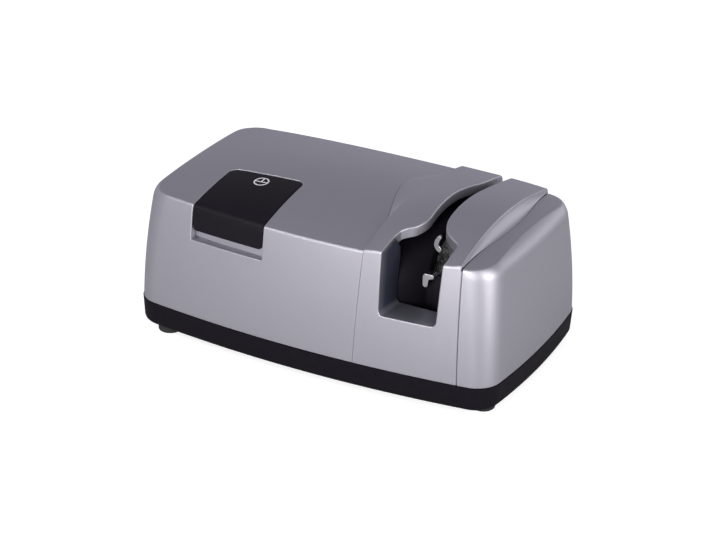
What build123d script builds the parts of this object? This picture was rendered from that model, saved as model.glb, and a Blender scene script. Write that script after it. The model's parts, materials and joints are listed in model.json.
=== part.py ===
from build123d import *
import math
import os

# Electric knife sharpener. X runs along the body, the user stands at -Y, Z is up.
# The origin is on the table under the middle of the body. All lengths are millimetres.

# ---------------------------------------------------------------- outer body
body_length = 220.0  # left end to right end at the parting line
body_depth = 131.5  # front to back at the parting line
foot_drop = 3.5  # how far the feet stand below the base
base_height = 14.2  # black base, bottom to parting line
cover_height = 62.8  # parting line to the top edge
front_bulge = 8.1  # rise of the bowed front and back over the whole length
end_bulge = 3.8  # rise of the bowed ends over the whole depth
corner_radius = 15.0  # upright corners at the parting line
corner_growth = 2.7  # how much larger the corners are at the top edge
end_flattening = 1.35  # how much flatter the ends are at the top edge
lean_start = 0.0179  # wall lean at the parting line, mm per mm
lean_growth = 0.00098  # extra lean, mm per mm squared
end_round = 9.0  # rounding of both ends towards the top
end_round_below = 4.5  # how far under the top edge that rounding starts
section_step = 3.0  # spacing of the level sections the walls are lofted through
crown = 9.0  # rise of the top between its front and back edges
crown_fade = 0.62  # share of the crown lost at the two ends
crown_margin = 5.0  # the crown runs out this far inside the parting outline
edge_radius = 1.8  # top edge all round
cover_wall = 2.5
cover_step = 0.4  # the base stands this far proud of the covers
parting_gap = 0.3
seam_gap = 0.3
left_end = -body_length / 2
right_end = body_length / 2
half_depth = body_depth / 2

# ---------------------------------------------------------------- guide cover
left_seam_low = right_end - 79.1  # left seam at the parting line
left_seam_high = right_end - 76.7  # and at the top edge
right_seam_low = right_end - 20.9
right_seam_high = right_end - 22.9
side_wall = 2.0
side_wall_rise = 4.0  # lower edge of the side walls above the parting line
side_notch = 9.0  # radius of the notch that passes the spindle

arch_reach = half_depth - 5.75  # half depth over which the arch heights are given
arch_left = (1.3, 8.6, 10.0, 8.0, 3.0)  # over the top edge, front to back, at the left seam
arch_middle = (1.6, 10.2, 12.0, 8.8, 2.8)
arch_right = (4.2, 11.5, 12.9, 9.7, 2.8)
arch_front_radius = 1.4
arch_back_radius = 4.0
flank_slope = 22.0  # degrees, the arch's left flank on the motor cover
flank_reach = 30.0  # how far left the flank can run out
flank_inset = 1.0

blade_plane = right_end - 49.2  # X of the knife's path, between the two wheels
recess_floor = 30.3  # above the parting line
recess_left = blade_plane - 16.8  # front corners at the floor
recess_right = blade_plane + 15.4
recess_spread = 1.1  # how much wider each side is at the top edge
recess_draft = 1.4  # how much each side closes over the depth
recess_back = 47.35  # from the wheels' axis to the recess's back wall
recess_depth = half_depth - cover_step - recess_back
shoulder_depth = recess_depth + 4.0  # the recess reaches further in above the shoulder
shoulder = 60.0  # above the base bottom
recess_corner = 2.8
recess_wall = 2.0

slot_left = [  # left lip from the recess to the back, from the knife's path and the wheels' axis
    (-16.0, -43.5), (-11.6, -38.1), (-8.7, -35.9), (-6.9, -32.6), (-6.5, -28.0),
    (-8.6, -5.0), (-8.8, 10.0), (-6.8, 22.0), (-3.4, 33.0), (-2.8, 45.0),
]
slot_right = [  # right lip from the recess to the back
    (16.6, -42.0), (15.4, -39.6), (11.3, -36.9), (7.8, -34.4), (5.7, -31.2), (4.4, -27.6),
    (2.6, -14.0), (2.0, 0.0), (1.8, 12.0), (2.4, 28.0), (3.0, 45.0),
]
slot_lip_depth = 5.5
slot_lip_wall = 1.8
slot_floor = 44.8  # lowest point of the knife's path, above the parting line

# ---------------------------------------------------------------- base
base_wall = 3.4
base_floor = 2.5
base_taper = 0.8  # how much the base narrows to its bottom
base_edge_radius = 3.5
lip_height = 3.0
lip_root = 5.0
lip_thickness = 1.5
lip_clearance = 0.3
boss_radius = 4.2
post_radius = 3.6
screw_radius = 1.5
screw_clearance = 0.2
screw_head_radius = 2.9
screw_head_height = 2.0
screw_head_sink = 3.0
screw_grip = 9.0  # thread length inside a post
thread_fit = 0.02
end_post_x = left_end + 14.0
end_post_y = half_depth - 27.75
seam_post_x = left_seam_high - 6.7
seam_post_y = half_depth - 12.75
motor_posts = [
    (end_post_x, -end_post_y), (end_post_x, end_post_y),
    (seam_post_x, -seam_post_y), (seam_post_x, seam_post_y),
]
guide_rear_posts = [
    (left_seam_high + 7.7, half_depth - 14.75), (right_seam_high - 8.1, half_depth - 16.75),
]
guide_front_post = (blade_plane, 14.75 - half_depth)
cap_post_x = right_end - 12.0
cap_post_y = half_depth - 36.75
end_posts = [(cap_post_x, -cap_post_y), (cap_post_x, cap_post_y)]

left_foot = (left_end + 21.0, half_depth - 14.75)  # X and distance from the middle plane
right_foot = (right_end - 13.0, half_depth - 22.75)
foot_radius = 6.5
foot_socket = 1.2
foot_stem_radius = 2.5
foot_barb = 0.6

door_half_length = 14.0
door_half_depth = 22.0
door_rabbet = 2.0
door_thickness = 1.2
door_gap = 0.25
door_ear = 7.5
tray_rise = 6.0

# ---------------------------------------------------------------- start button
button_left = left_end + 39.5
button_right = left_end + 84.7
button_back = 51.25 - half_depth
button_corner = 5.0
button_gap = 0.35
button_thickness = 3.0
button_sink = 0.15
button_lower_edge = 49.8  # above the parting line
pocket_ledge = 44.4  # above the parting line
pocket_depth_front = 4.6
pocket_depth_top = 7.8
pocket_wall = 2.0
hinge_inset = 3.5  # hinge axis in front of the pad's back edge
hinge_below_crown = 4.7
hinge_radius = 1.0
hinge_fit = 0.05
hinge_socket = 1.5
knuckle_radius = 1.9
knuckle_length = 8.0
knuckle_inset = 6.0
post_arm = 22.0  # actuating post in front of the hinge
button_post_radius = 2.2
button_post_clearance = 1.0
spring_wire = 0.6
spring_radius = 3.9
spring_turns = 5
spring_side_gap = 0.6
spring_seat_below = 3.8  # seat on the pad, under its outer surface
well_depth = 6.0
well_wall = 1.5

switch_length = 28.0
switch_width = 10.0
switch_height = 14.0
switch_top_below_well = 6.0
plunger_radius = 1.5
plunger_proud = 2.5
plunger_gap = 0.3
sheet = 1.5

# ---------------------------------------------------------------- drive
spindle_height = 46.0  # above the bottom of the base
spindle_radius = 3.0
spindle_left = left_seam_high - 80.3
spindle_right = right_end - 11.0
running_fit = 0.03
fixed_fit = 0.02

wheel_radius = 28.0
wheel_notch_radius = 16.0
wheel_bevel = 6.0
wheel_rim = 5.0
wheel_gap = 0.6
hub_radius = 10.0
hub_overhang = 2.5
collar_radius = 6.0
collar_length = 3.0
clip_radius = 5.2
clip_length = 0.8
flinger_radius = 12.0
flinger_place = left_seam_high + 4.2

stack_left = left_seam_high - 47.3
stack_length = 26.0
stack_half_height = 24.0
stack_front = -24.0
limb_far = half_depth - 18.75
limb_near = limb_far - 12.0
window_near = 17.0
window_half_height = 13.5
rotor_radius = 13.0
air_gap = 0.4
rotor_ring_radius = 12.4
rotor_ring_length = 3.0
shading_bar = 2.0
shading_place = -15.5
coil_build = 7.5
bobbin_wall = 1.0
bobbin_gap = 0.15
bobbin_flange = 1.2
motor_bolt_offset = 19.0
standoff_radius = 3.6
standoff_left = 17.0
standoff_right = 13.0
bracket_thickness = 3.0
bracket_half = 23.0
bracket_window = 6.0
bearing_boss_radius = 7.5
bearing_boss_length = 6.0
bush_radius = 5.0
bush_length = 7.0
mount_underside = 17.0  # underside of the motor's feet above the base bottom
mount_reach = 11.0
mount_foot_thickness = 2.5
mount_y = 14.0
mount_radius = 5.0
mount_rubber = 5.0
fan_radius = 21.0
fan_width = 7.0
fan_disc = 1.2
fan_blades = 9
fan_blade = 1.2
fan_hub_radius = 6.0
fan_gap = 2.0

outboard_place = right_end - 16.0
outboard_thickness = 6.0
outboard_half_width = 9.0
outboard_flange = 19.0
outboard_flange_height = 4.0
outboard_boss_height = 4.0

# ---------------------------------------------------------------- wheel guard
guard_left = blade_plane - 14.3
guard_right = blade_plane + 14.2
guard_front = 33.0
guard_plate_left = blade_plane - 22.3
guard_plate_right = blade_plane + 21.2
guard_nose = -42.3  # front of the bowed panel beside the blade
panel_drop = 4.0
guard_wall = 2.0
guard_top = 78.5  # above the bottom of the base
guard_bottom = 20.0
guard_slit = 5.0
guard_funnel = 3.0
guard_funnel_depth = 5.0
guard_window_floor = 34.0
wheel_clearance = 1.3
hub_clearance = 1.5
guard_leg = 4.0

blade_spring_thickness = 0.8
blade_spring_width = 7.0
blade_rest_thickness = 1.2
rest_top = 62.7  # above the base bottom

# ---------------------------------------------------------------- wiring
cord_x = left_end + 30.0
cord_z = foot_drop + base_height + 11.8
cord_radius = 3.4
gland_radius = 5.2
gland_flange_radius = 6.8
gland_flange = 1.2
gland_plane = half_depth - 6.15  # flat that the gland's outer flange sits on
gland_seat = 2.5
clamp_reach = 9.5
clamp_strap = 2.5
clamp_half_width = 3.5
clamp_y = half_depth - 37.75
terminal_x = left_end + 18.0
terminal_y = clamp_y - 22.0
terminal_size = (18.0, 14.0, 11.0)
terminal_pitch = 7.0
terminal_wire_z = 5.0
terminal_screw_ends = (5.0, 13.0)  # X of the screws from the block's left end
suppressor_x = left_end + 48.0
suppressor_y = half_depth - 29.75
suppressor_size = (20.0, 10.0, 13.0)
lead_radius = 0.9
lead_bend = 4.0

# ---------------------------------------------------------------- worked out
half_length = right_end
split_z = foot_drop + base_height
edge_z = split_z + cover_height
floor_z = foot_drop + base_floor
cover_z = split_z + parting_gap
spindle_z = foot_drop + spindle_height
crown_half_x = half_length - crown_margin
crown_half_y = half_depth - crown_margin
stack_right = stack_left + stack_length
path_z = split_z + slot_floor
button_middle = (button_left + button_right) / 2
hinge_y = button_back - hinge_inset
post_y = hinge_y - post_arm
patch_margin = 20.0  # how far the top surfaces reach past what they cut
arch_margin = 2.25
above_all = split_z + 102.3
beside_all = half_depth + 24.25
far = 200.0


# ---------------------------------------------------------------- small helpers
def block(x0, x1, y0, y1, z0, z1):
    """Box between two corners."""
    return Pos((x0 + x1) / 2, (y0 + y1) / 2, (z0 + z1) / 2) * Box(x1 - x0, y1 - y0, z1 - z0)


def rod_x(x0, x1, radius, y, z):
    """Cylinder along X."""
    return Pos((x0 + x1) / 2, y, z) * Rot(0, 90, 0) * Cylinder(radius, x1 - x0)


def rod_y(x, y0, y1, radius, z):
    """Cylinder along Y."""
    return Pos(x, (y0 + y1) / 2, z) * Rot(90, 0, 0) * Cylinder(radius, y1 - y0)


def rod_z(x, y, z0, z1, radius):
    """Upright cylinder."""
    return Pos(x, y, (z0 + z1) / 2) * Cylinder(radius, z1 - z0)


def slab_xz(points, y0, y1):
    """Polygon of (x, z) points, extruded from y0 to y1."""
    face = make_face(Polyline([(x, y0, z) for x, z in points], close=True))
    return extrude(face, amount=y1 - y0, dir=(0, 1, 0))


def turned(profile):
    """Polygon of (x, radius) points, revolved about the spindle's axis."""
    face = make_face(Polyline([(x, 0, spindle_z + r) for x, r in profile], close=True))
    return revolve(face, Axis((0, 0, spindle_z), (1, 0, 0)))


def ring_x(x0, x1, outer, inner):
    """Washer shape on the spindle's axis."""
    return turned([(x0, inner), (x1, inner), (x1, outer), (x0, outer)])


def screw_up(x, y, z_head, z_tip):
    """Pan head screw that points up, its head's underside side at z_head."""
    head = rod_z(x, y, z_head, z_head + screw_head_height, screw_head_radius)
    cross = block(x - 1.6, x + 1.6, y - 0.35, y + 0.35, z_head - 0.1, z_head + 0.9)
    turned_cross = block(x - 0.35, x + 0.35, y - 1.6, y + 1.6, z_head - 0.1, z_head + 0.9)
    return head - cross - turned_cross + rod_z(x, y, z_head + screw_head_height, z_tip, screw_radius)


def screw_down(x, y, z_head, z_tip):
    """Pan head screw that points down, its head's top at z_head."""
    low = z_head - screw_head_height
    head = rod_z(x, y, low, z_head, screw_head_radius)
    cross = block(x - 1.6, x + 1.6, y - 0.35, y + 0.35, z_head - 0.9, z_head + 0.1)
    turned_cross = block(x - 0.35, x + 0.35, y - 1.6, y + 1.6, z_head - 0.9, z_head + 0.1)
    return head - cross - turned_cross + rod_z(x, y, z_tip, low, screw_radius)


def group(solids):
    """Several separate solids in one node."""
    return Compound(children=list(solids))


def write(name, shape):
    """One STEP file for one sub-part."""
    export_step(shape, os.path.join("parts", name + ".step"))
    print(name, round(shape.volume))


# ---------------------------------------------------------------- body surfaces
def lean(z):
    """How far the wall has come in at height z."""
    rise = max(0.0, z - split_z)
    return lean_start * rise + lean_growth * rise**2


def outline(z, inset, end_inset=0.0):
    """Bowed rectangle with round corners at height z, drawn inset from the body."""
    rise = (z - split_z) / cover_height
    a = half_length - lean(z) - inset - end_inset
    b = half_depth - lean(z) - inset
    bow_x = end_bulge - end_flattening * rise
    ca, cb = a - bow_x, b - front_bulge
    corners = [(-ca, -cb), (ca, -cb), (ca, cb), (-ca, cb)]
    middles = [(0, -b), (a, 0), (0, b), (-a, 0)]
    edges = [ThreePointArc(corners[i], middles[i], corners[(i + 1) % 4]) for i in range(4)]
    face = make_face(edges)
    radius = max(2.0, corner_radius + corner_growth * rise - 0.8 * inset)
    return Pos(0, 0, z) * fillet(face.vertices(), radius)


def end_rounding(z):
    """How far the ends have turned in at height z."""
    rise = max(0.0, z - edge_z + end_round_below) / end_round
    curved = min(rise, 1.1)
    straight = (rise - curved) * (curved + 0.72 * curved**3)
    return end_round * (0.5 * curved**2 + 0.18 * curved**4 + straight)


def wall_block(inset, bottom):
    """Solid inside the outer wall surface with rounded ends, and no top surface yet."""
    count = math.ceil((edge_z + crown + 3 - bottom) / section_step)
    heights = [bottom + section_step * i for i in range(count + 1)]
    return loft([outline(z, inset, end_rounding(z)) for z in heights])


def band_block(inset, bottom):
    """The same wall surface for the guide cover, whose arch stands over the rounded ends."""
    heights = [bottom + (above_all - 10 - bottom) * i / 6 for i in range(7)]
    return loft([outline(z, inset) for z in heights])


def bezier_controls(heights):
    """Control heights of the Bezier curve of the same degree through evenly spaced heights."""
    if len(heights) == 3:
        low, middle, high = heights
        return (low, 2 * middle - (low + high) / 2, high)
    h0, h1, h2, h3, h4 = heights
    p1 = (-13 * h0 + 48 * h1 - 36 * h2 + 16 * h3 - 3 * h4) / 12
    p3 = (-3 * h0 + 16 * h1 - 36 * h2 + 48 * h3 - 13 * h4) / 12
    p2 = (128 * h2 - 8 * (h0 + h4) - 32 * (p1 + p3)) / 48
    return (h0, p1, p2, p3, h4)


def height_patch(xs, ys, heights):
    """Bezier surface through a grid of heights, three columns in x and three or five in y."""
    along_y = [bezier_controls(row) for row in heights]
    columns = [bezier_controls([row[j] for row in along_y]) for j in range(len(ys))]
    points = [[(xs[i], ys[j], columns[j][i]) for j in range(len(ys))] for i in range(3)]
    return Face.make_bezier_surface(points)


def through(x, points, values):
    """Value at x of the polynomial through the points."""
    total = 0.0
    for i, xi in enumerate(points):
        others = [xj for j, xj in enumerate(points) if j != i]
        total += values[i] * math.prod((x - xj) / (xi - xj) for xj in others)
    return total


def over(height, x_range, y_range, rows):
    """Everything over the surface z = height(x, y), with the given number of rows in y."""
    xs = (x_range[0], sum(x_range) / 2, x_range[1])
    ys = [y_range[0] + (y_range[1] - y_range[0]) * i / (rows - 1) for i in range(rows)]
    patch = height_patch(xs, ys, [[height(x, y) for y in ys] for x in xs])
    return Solid.extrude(patch, (0, 0, far))


def crown_height(x, y):
    """Height of the crowned top at (x, y)."""
    rise = crown * (1 - crown_fade * (x / crown_half_x) ** 2)
    return edge_z + rise * (1 - (y / crown_half_y) ** 2)


def arch_height(x, y):
    """Height of the guide cover's arch at (x, y)."""
    xs = (left_seam_high, (left_seam_high + right_seam_high) / 2, right_seam_high)
    ys = [arch_reach * share for share in (-1.0, -0.5, 0.0, 0.5, 1.0)]
    columns = (arch_left, arch_middle, arch_right)
    at_y = [through(y, ys, column) for column in columns]
    return edge_z + through(x, xs, at_y)


def flank_height(x, y):
    """Height of the arch's left flank, which falls away to the left of the seam."""
    fall = math.tan(math.radians(flank_slope)) * (left_seam_high - x)
    return arch_height(left_seam_high, y) - fall


def over_crown(lowered):
    """Everything over the crowned top, lowered by a thickness."""
    x, y = half_length + patch_margin, half_depth + patch_margin
    return over(lambda u, v: crown_height(u, v) - lowered, (-x, x), (-y, y), 3)


def over_arch(lowered):
    """Everything over the arch, lowered by a thickness."""
    x_range = (left_seam_high - patch_margin, right_seam_high + patch_margin)
    y = half_depth + arch_margin
    return over(lambda u, v: arch_height(u, v) - lowered, x_range, (-y, y), 5)


def seam_x(low, high, z):
    """X of a slanted seam at height z."""
    return low + (high - low) * (z - split_z) / cover_height


def seam_band(left_inset, right_inset):
    """Everything between the two slanted seams."""
    left = [seam_x(left_seam_low, left_seam_high, z) + left_inset for z in (0, above_all)]
    right = [seam_x(right_seam_low, right_seam_high, z) - right_inset for z in (0, above_all)]
    points = [(left[0], 0), (right[0], 0), (right[1], above_all), (left[1], above_all)]
    return slab_xz(points, -beside_all, beside_all)


def beyond_seam(low, high, side):
    """Everything on one side of a slanted seam, side -1 for left and 1 for right."""
    near = [seam_x(low, high, z) + side * seam_gap / 2 for z in (0, above_all)]
    edge = side * (half_length + 20.0)
    points = [(near[0], 0), (edge, 0), (edge, above_all), (near[1], above_all)]
    return slab_xz(points, -beside_all, beside_all)


def inner_block(inset, lowered, bottom):
    """Solid inside the outer skin: inset sideways and lowered on top."""
    return wall_block(cover_step + inset, bottom) - over_crown(lowered)


def top_edges(shape, low):
    """Edges that lie wholly above a height."""
    return [edge for edge in shape.edges() if edge.bounding_box().min.Z > low]


def pad_prism(margin, bottom):
    """The start button's outline in plan, grown by a margin, from a height upwards."""
    x0, x1, y1 = button_left - margin, button_right + margin, button_back + margin
    front = -beside_all
    corners = [(x0, front, bottom), (x1, front, bottom), (x1, y1, bottom), (x0, y1, bottom)]
    face = make_face(Polyline(corners, close=True))
    rear = [vertex for vertex in face.vertices() if vertex.Y > front + 1]
    return extrude(fillet(rear, button_corner + margin), amount=far, dir=(0, 0, 1))


def cover_posts(places, roof):
    """Screw posts that stand on the base's bosses and reach up to a roof solid."""
    posts = [rod_z(x, y, cover_z, above_all, post_radius) & roof for x, y in places]
    return sum(posts[1:], posts[0])


def pilot_holes(places):
    """Holes in the posts for the base screws."""
    holes = [rod_z(x, y, 0, split_z + screw_grip + 2, screw_radius + thread_fit) for x, y in places]
    return sum(holes[1:], holes[0])


# ---------------------------------------------------------------- covers
def make_skin():
    """The whole outer body above the parting line, with its top edge rounded."""
    body = inner_block(0, 0, cover_z)
    return fillet(top_edges(body, edge_z - 6), edge_radius)


def well_floor():
    """Height of the start button pocket's floor at the actuating post."""
    return crown_height(button_middle, post_y) - pocket_depth_top


def hinge_z():
    """Height of the start button's hinge axis."""
    return crown_height(button_middle, hinge_y) - hinge_below_crown


def spring_bore():
    """Radius of the well that holds the return spring."""
    return spring_radius + spring_wire / 2 + spring_side_gap


def make_motor_cover(skin, cavity):
    """Left cover: shell, arch flank, pocket for the start button, posts and cord hole."""
    reach = (left_seam_high - flank_reach, left_seam_high + 10)
    y = half_depth + arch_margin
    flank = band_block(cover_step + flank_inset, edge_z - 6) - over(flank_height, reach, (-y, y), 5)
    flank &= block(reach[0] + 1, reach[1], -beside_all, beside_all, edge_z - 7, above_all)
    flank -= inner_block(1.2, 1.2, split_z)
    cover = (skin - cavity) + flank
    cover &= beyond_seam(left_seam_low, left_seam_high, -1)

    ledge_z = split_z + pocket_ledge
    tub = pad_prism(pocket_wall, ledge_z - pocket_wall) & skin
    tub -= inner_block(pocket_depth_front + pocket_wall, pocket_depth_top + pocket_wall, split_z)
    core = inner_block(pocket_depth_front, pocket_depth_top, split_z)
    floor = well_floor()
    well_foot = floor - well_depth - pocket_wall
    well = rod_z(button_middle, post_y, well_foot, floor + 1, spring_bore() + well_wall)
    cover = cover + tub + (well & core)
    cover -= pad_prism(0, ledge_z) - core
    cover -= rod_z(button_middle, post_y, floor - well_depth, above_all, spring_bore())
    hole = button_post_radius + button_post_clearance
    cover -= rod_z(button_middle, post_y, floor - well_depth - 5, above_all, hole)
    socket = (button_left - hinge_socket, button_right + hinge_socket)
    cover -= rod_x(*socket, hinge_radius + fixed_fit, hinge_y, hinge_z())

    cover += cover_posts(motor_posts, inner_block(1.0, 1.0, cover_z))
    cover -= pilot_holes(motor_posts)

    seat = rod_y(cord_x, gland_plane - gland_seat, gland_plane + 4, gland_flange_radius + 1.5, cord_z)
    cover += seat & skin
    cover -= rod_y(cord_x, gland_plane, beside_all, gland_flange_radius + 0.3, cord_z)
    cover -= rod_y(cord_x, 0.6 * gland_plane, gland_plane - gland_seat, gland_flange_radius + 0.3, cord_z)
    cover -= rod_y(cord_x, 0.6 * gland_plane, beside_all, gland_radius + fixed_fit, cord_z)
    return cover


def recess_block(grow, depth):
    """The front recess: a drafted pocket, open in front and above, grown by a margin."""
    front_y = -(half_depth - cover_step)
    draft = recess_draft / recess_depth
    widen = recess_spread / (cover_height - recess_floor)
    faces = []
    for y in (front_y - 6, front_y + depth):
        low = split_z + recess_floor - grow + draft * (y - front_y) / 2
        close = draft * (y - front_y) - grow
        rise = widen * (above_all - low)
        left, right = recess_left + close, recess_right - close
        points = [(left, low), (right, low), (right + rise, above_all), (left - rise, above_all)]
        face = make_face(Polyline([(x, y, z) for x, z in points], close=True))
        lower = [vertex for vertex in face.vertices() if vertex.Z < low + 1]
        faces.append(fillet(lower, recess_corner + grow))
    return loft(faces, ruled=True)


def moved_sideways(points, distance):
    """Line of points moved square to itself, to the left of its direction for a positive distance."""
    moved = []
    for i, (x, y) in enumerate(points):
        before, after = points[max(0, i - 1)], points[min(len(points) - 1, i + 1)]
        dx, dy = after[0] - before[0], after[1] - before[1]
        length = math.hypot(dx, dy)
        moved.append((x - distance * dy / length, y + distance * dx / length))
    return moved


def slot_plan(grow):
    """Knife slot seen from above, grown by a margin: shoulders at the recess, then a waist."""
    z, front, back = path_z, -half_depth + 6, beside_all
    left = [(blade_plane + x, y, z) for x, y in moved_sideways(slot_left, grow)]
    right = [(blade_plane + x, y, z) for x, y in moved_sideways(slot_right, -grow)]
    left_curve, right_curve = Spline(left), Spline(right)
    edges = [
        left_curve,
        Line(left[-1], (left[-1][0], back, z)),
        Line((left[-1][0], back, z), (right[-1][0], back, z)),
        Line((right[-1][0], back, z), right[-1]),
        right_curve,
        Line(right[0], (right[0][0], front, z)),
        Line((right[0][0], front, z), (left[0][0], front, z)),
        Line((left[0][0], front, z), left[0]),
    ]
    return extrude(make_face(edges), amount=far, dir=(0, 0, 1))


def make_guide_cover():
    """Band with the arch, the recess with its returns, the knife slot with its lips."""
    outer = (band_block(cover_step, cover_z) & seam_band(seam_gap / 2, seam_gap / 2)) - over_arch(0)
    tops = top_edges(outer, edge_z - 2)
    backs = [edge for edge in tops if edge.center().Y > 40]
    outer = fillet(backs, arch_back_radius)
    tops = top_edges(outer, edge_z - 1)
    fronts = [edge for edge in tops if edge.center().Y < -40]
    outer = fillet(fronts, arch_front_radius)

    inset = cover_step + cover_wall
    room = band_block(inset, split_z - 5) & seam_band(side_wall, side_wall)
    room -= over_arch(cover_wall)
    under_walls = block(0, half_length, -beside_all, beside_all, 0, split_z + side_wall_rise)
    low_room = band_block(inset, split_z - 5) & under_walls
    cover = outer - room - low_room

    high = block(0, half_length, -beside_all, beside_all, foot_drop + shoulder, above_all)
    cover += recess_block(recess_wall, recess_depth) & outer
    cover += recess_block(recess_wall, shoulder_depth) & outer & high
    behind = block(0, half_length, -half_depth + recess_depth, beside_all, 0, above_all)
    cover += slot_plan(slot_lip_wall) & outer & over_arch(slot_lip_depth) & behind
    cover -= recess_block(0, recess_depth + 1)
    cover -= recess_block(0, shoulder_depth + 1) & high
    cover -= slot_plan(0)

    notch = rod_x(0, half_length, side_notch, 0, spindle_z)
    notch += block(0, half_length, -side_notch, side_notch, 0, spindle_z)
    cover -= notch
    roof = (band_block(cover_step + 1, cover_z) & seam_band(1, 1)) - over_arch(1)
    cover += cover_posts(guide_rear_posts, roof)
    x, y = guide_front_post
    cover += rod_z(x, y, cover_z, split_z + recess_floor - 1, post_radius)
    cover -= pilot_holes(guide_rear_posts + [guide_front_post])
    return cover


def make_end_cover(skin, cavity):
    """Right cover with its two posts."""
    cover = (skin & beyond_seam(right_seam_low, right_seam_high, 1)) - cavity
    cover += cover_posts(end_posts, inner_block(1.0, 1.0, cover_z))
    return cover - pilot_holes(end_posts)


# ---------------------------------------------------------------- base
def all_posts():
    return motor_posts + guide_rear_posts + [guide_front_post] + end_posts


def foot_places():
    return {
        "foot_front_left": (left_foot[0], -left_foot[1]),
        "foot_front_right": (right_foot[0], -right_foot[1]),
        "foot_rear_left": left_foot,
        "foot_rear_right": right_foot,
    }


def mount_places():
    """Centres of the four rubber motor mounts."""
    left = stack_left - standoff_left + mount_reach / 2
    right = stack_right + standoff_right - mount_reach / 2
    return [(left, -mount_y), (left, mount_y), (right, -mount_y), (right, mount_y)]


def mount_base_z():
    return foot_drop + mount_underside - mount_rubber


def door_box(shrink, z0, z1):
    """The filings door's opening with its rabbet and ear."""
    x0, x1 = blade_plane - door_half_length - door_rabbet, blade_plane + door_half_length + door_rabbet
    y1 = door_half_depth + door_rabbet
    plate = block(x0 + shrink, x1 - shrink, -y1 + shrink, y1 - shrink, z0, z1)
    return plate + block(x1 - 5, x1 + door_ear - shrink, -6 + shrink, 6 - shrink, z0, z1)


def door_screw_place():
    return (blade_plane + door_half_length + door_rabbet + door_ear - 4.5, 0.0)


def outboard_screws():
    inset = outboard_flange - screw_head_radius - 1.5
    return [(outboard_place, -inset), (outboard_place, inset)]


def clamp_places():
    return [(cord_x - clamp_reach, clamp_y), (cord_x + clamp_reach, clamp_y)]


def switch_foot_places():
    y = post_y + switch_width / 2 + 7.5
    return [(button_middle - 9.0, y), (button_middle + 9.0, y)]


def make_base_tray():
    """Black lower housing with its lip, bosses, foot sockets and filings door opening."""
    outer = loft([outline(foot_drop, base_taper), outline(split_z, 0)], ruled=True)
    lowest = [edge for edge in outer.edges() if edge.bounding_box().max.Z < foot_drop + 0.5]
    outer = fillet(lowest, base_edge_radius)
    room = [outline(floor_z, base_taper + base_wall), outline(split_z + 1, base_wall)]
    base = outer - loft(room, ruled=True)
    inset = cover_step + cover_wall + lip_clearance
    lip = extrude(outline(split_z, inset), amount=lip_height + lip_root, dir=(0, 0, 1))
    lip -= extrude(outline(split_z, inset + lip_thickness), amount=lip_height + lip_root, dir=(0, 0, 1))
    for x, y in all_posts():
        lip -= rod_z(x, y, 0, above_all, post_radius + lip_clearance)
    base += Pos(0, 0, -lip_root) * lip

    for x, y in all_posts():
        base += rod_z(x, y, foot_drop + 0.5, split_z, boss_radius)
    for x, y in mount_places():
        base += rod_z(x, y, floor_z - 1, mount_base_z(), mount_radius)
    for x, y in outboard_screws() + clamp_places() + switch_foot_places():
        base += rod_z(x, y, floor_z - 1, floor_z + outboard_boss_height, boss_radius)
    x, y = door_screw_place()
    base += rod_z(x, y, foot_drop + 1, floor_z + 6, boss_radius)

    for x, y in all_posts():
        base -= rod_z(x, y, 0, split_z + 1, screw_radius + screw_clearance)
        base -= rod_z(x, y, 0, foot_drop + screw_head_sink + 0.01, screw_head_radius + screw_clearance)
    for x, y in foot_places().values():
        base -= rod_z(x, y, 0, foot_drop + foot_socket, foot_radius + door_gap)
        base -= rod_z(x, y, 0, floor_z + 1, foot_stem_radius + fixed_fit)
    for x, y in mount_places():
        base -= rod_z(x, y, floor_z, above_all, screw_radius + thread_fit)
    for x, y in outboard_screws() + clamp_places() + switch_foot_places():
        base -= rod_z(x, y, floor_z - 0.5, above_all, screw_radius + thread_fit)
    base -= door_box(0, 0, foot_drop + door_thickness + 0.05)
    base -= block(
        blade_plane - door_half_length, blade_plane + door_half_length,
        -door_half_depth, door_half_depth, 0, floor_z + 1,
    )
    x, y = door_screw_place()
    return base - rod_z(x, y, 0, floor_z + 5, screw_radius + thread_fit)


def make_foot(x, y):
    """Rubber foot: pad, stem through the floor and barb above it."""
    pad = rod_z(x, y, 0, foot_drop + foot_socket, foot_radius)
    pad = fillet([edge for edge in pad.edges() if edge.center().Z < 0.5], 0.8)
    stem = rod_z(x, y, foot_drop, floor_z + 2, foot_stem_radius)
    barb = rod_z(x, y, floor_z + 0.05, floor_z + 1.6, foot_stem_radius + foot_barb)
    return pad + stem + barb


def make_filings_tray():
    """Door under the wheels with a rim that catches the filings."""
    tray = door_box(door_gap, foot_drop, foot_drop + door_thickness)
    x0, x1 = blade_plane - door_half_length + door_gap, blade_plane + door_half_length - door_gap
    y1 = door_half_depth - door_gap
    rim = block(x0, x1, -y1, y1, foot_drop, foot_drop + tray_rise)
    rim -= block(x0 + 1.2, x1 - 1.2, -y1 + 1.2, y1 - 1.2, foot_drop + door_thickness, above_all)
    x, y = door_screw_place()
    return tray + rim - rod_z(x, y, 0, floor_z + 1, screw_radius + screw_clearance)


def make_door_screw():
    """Countersunk flush screw of the filings door."""
    x, y = door_screw_place()
    head = rod_z(x, y, foot_drop - 1.2, foot_drop, screw_head_radius)
    return head + rod_z(x, y, foot_drop, floor_z + 4.5, screw_radius)


def make_base_screws():
    """The screws that hold the covers down, one for each post."""
    head = foot_drop + screw_head_sink - screw_head_height
    return group(screw_up(x, y, head, split_z + screw_grip) for x, y in all_posts())


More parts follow.
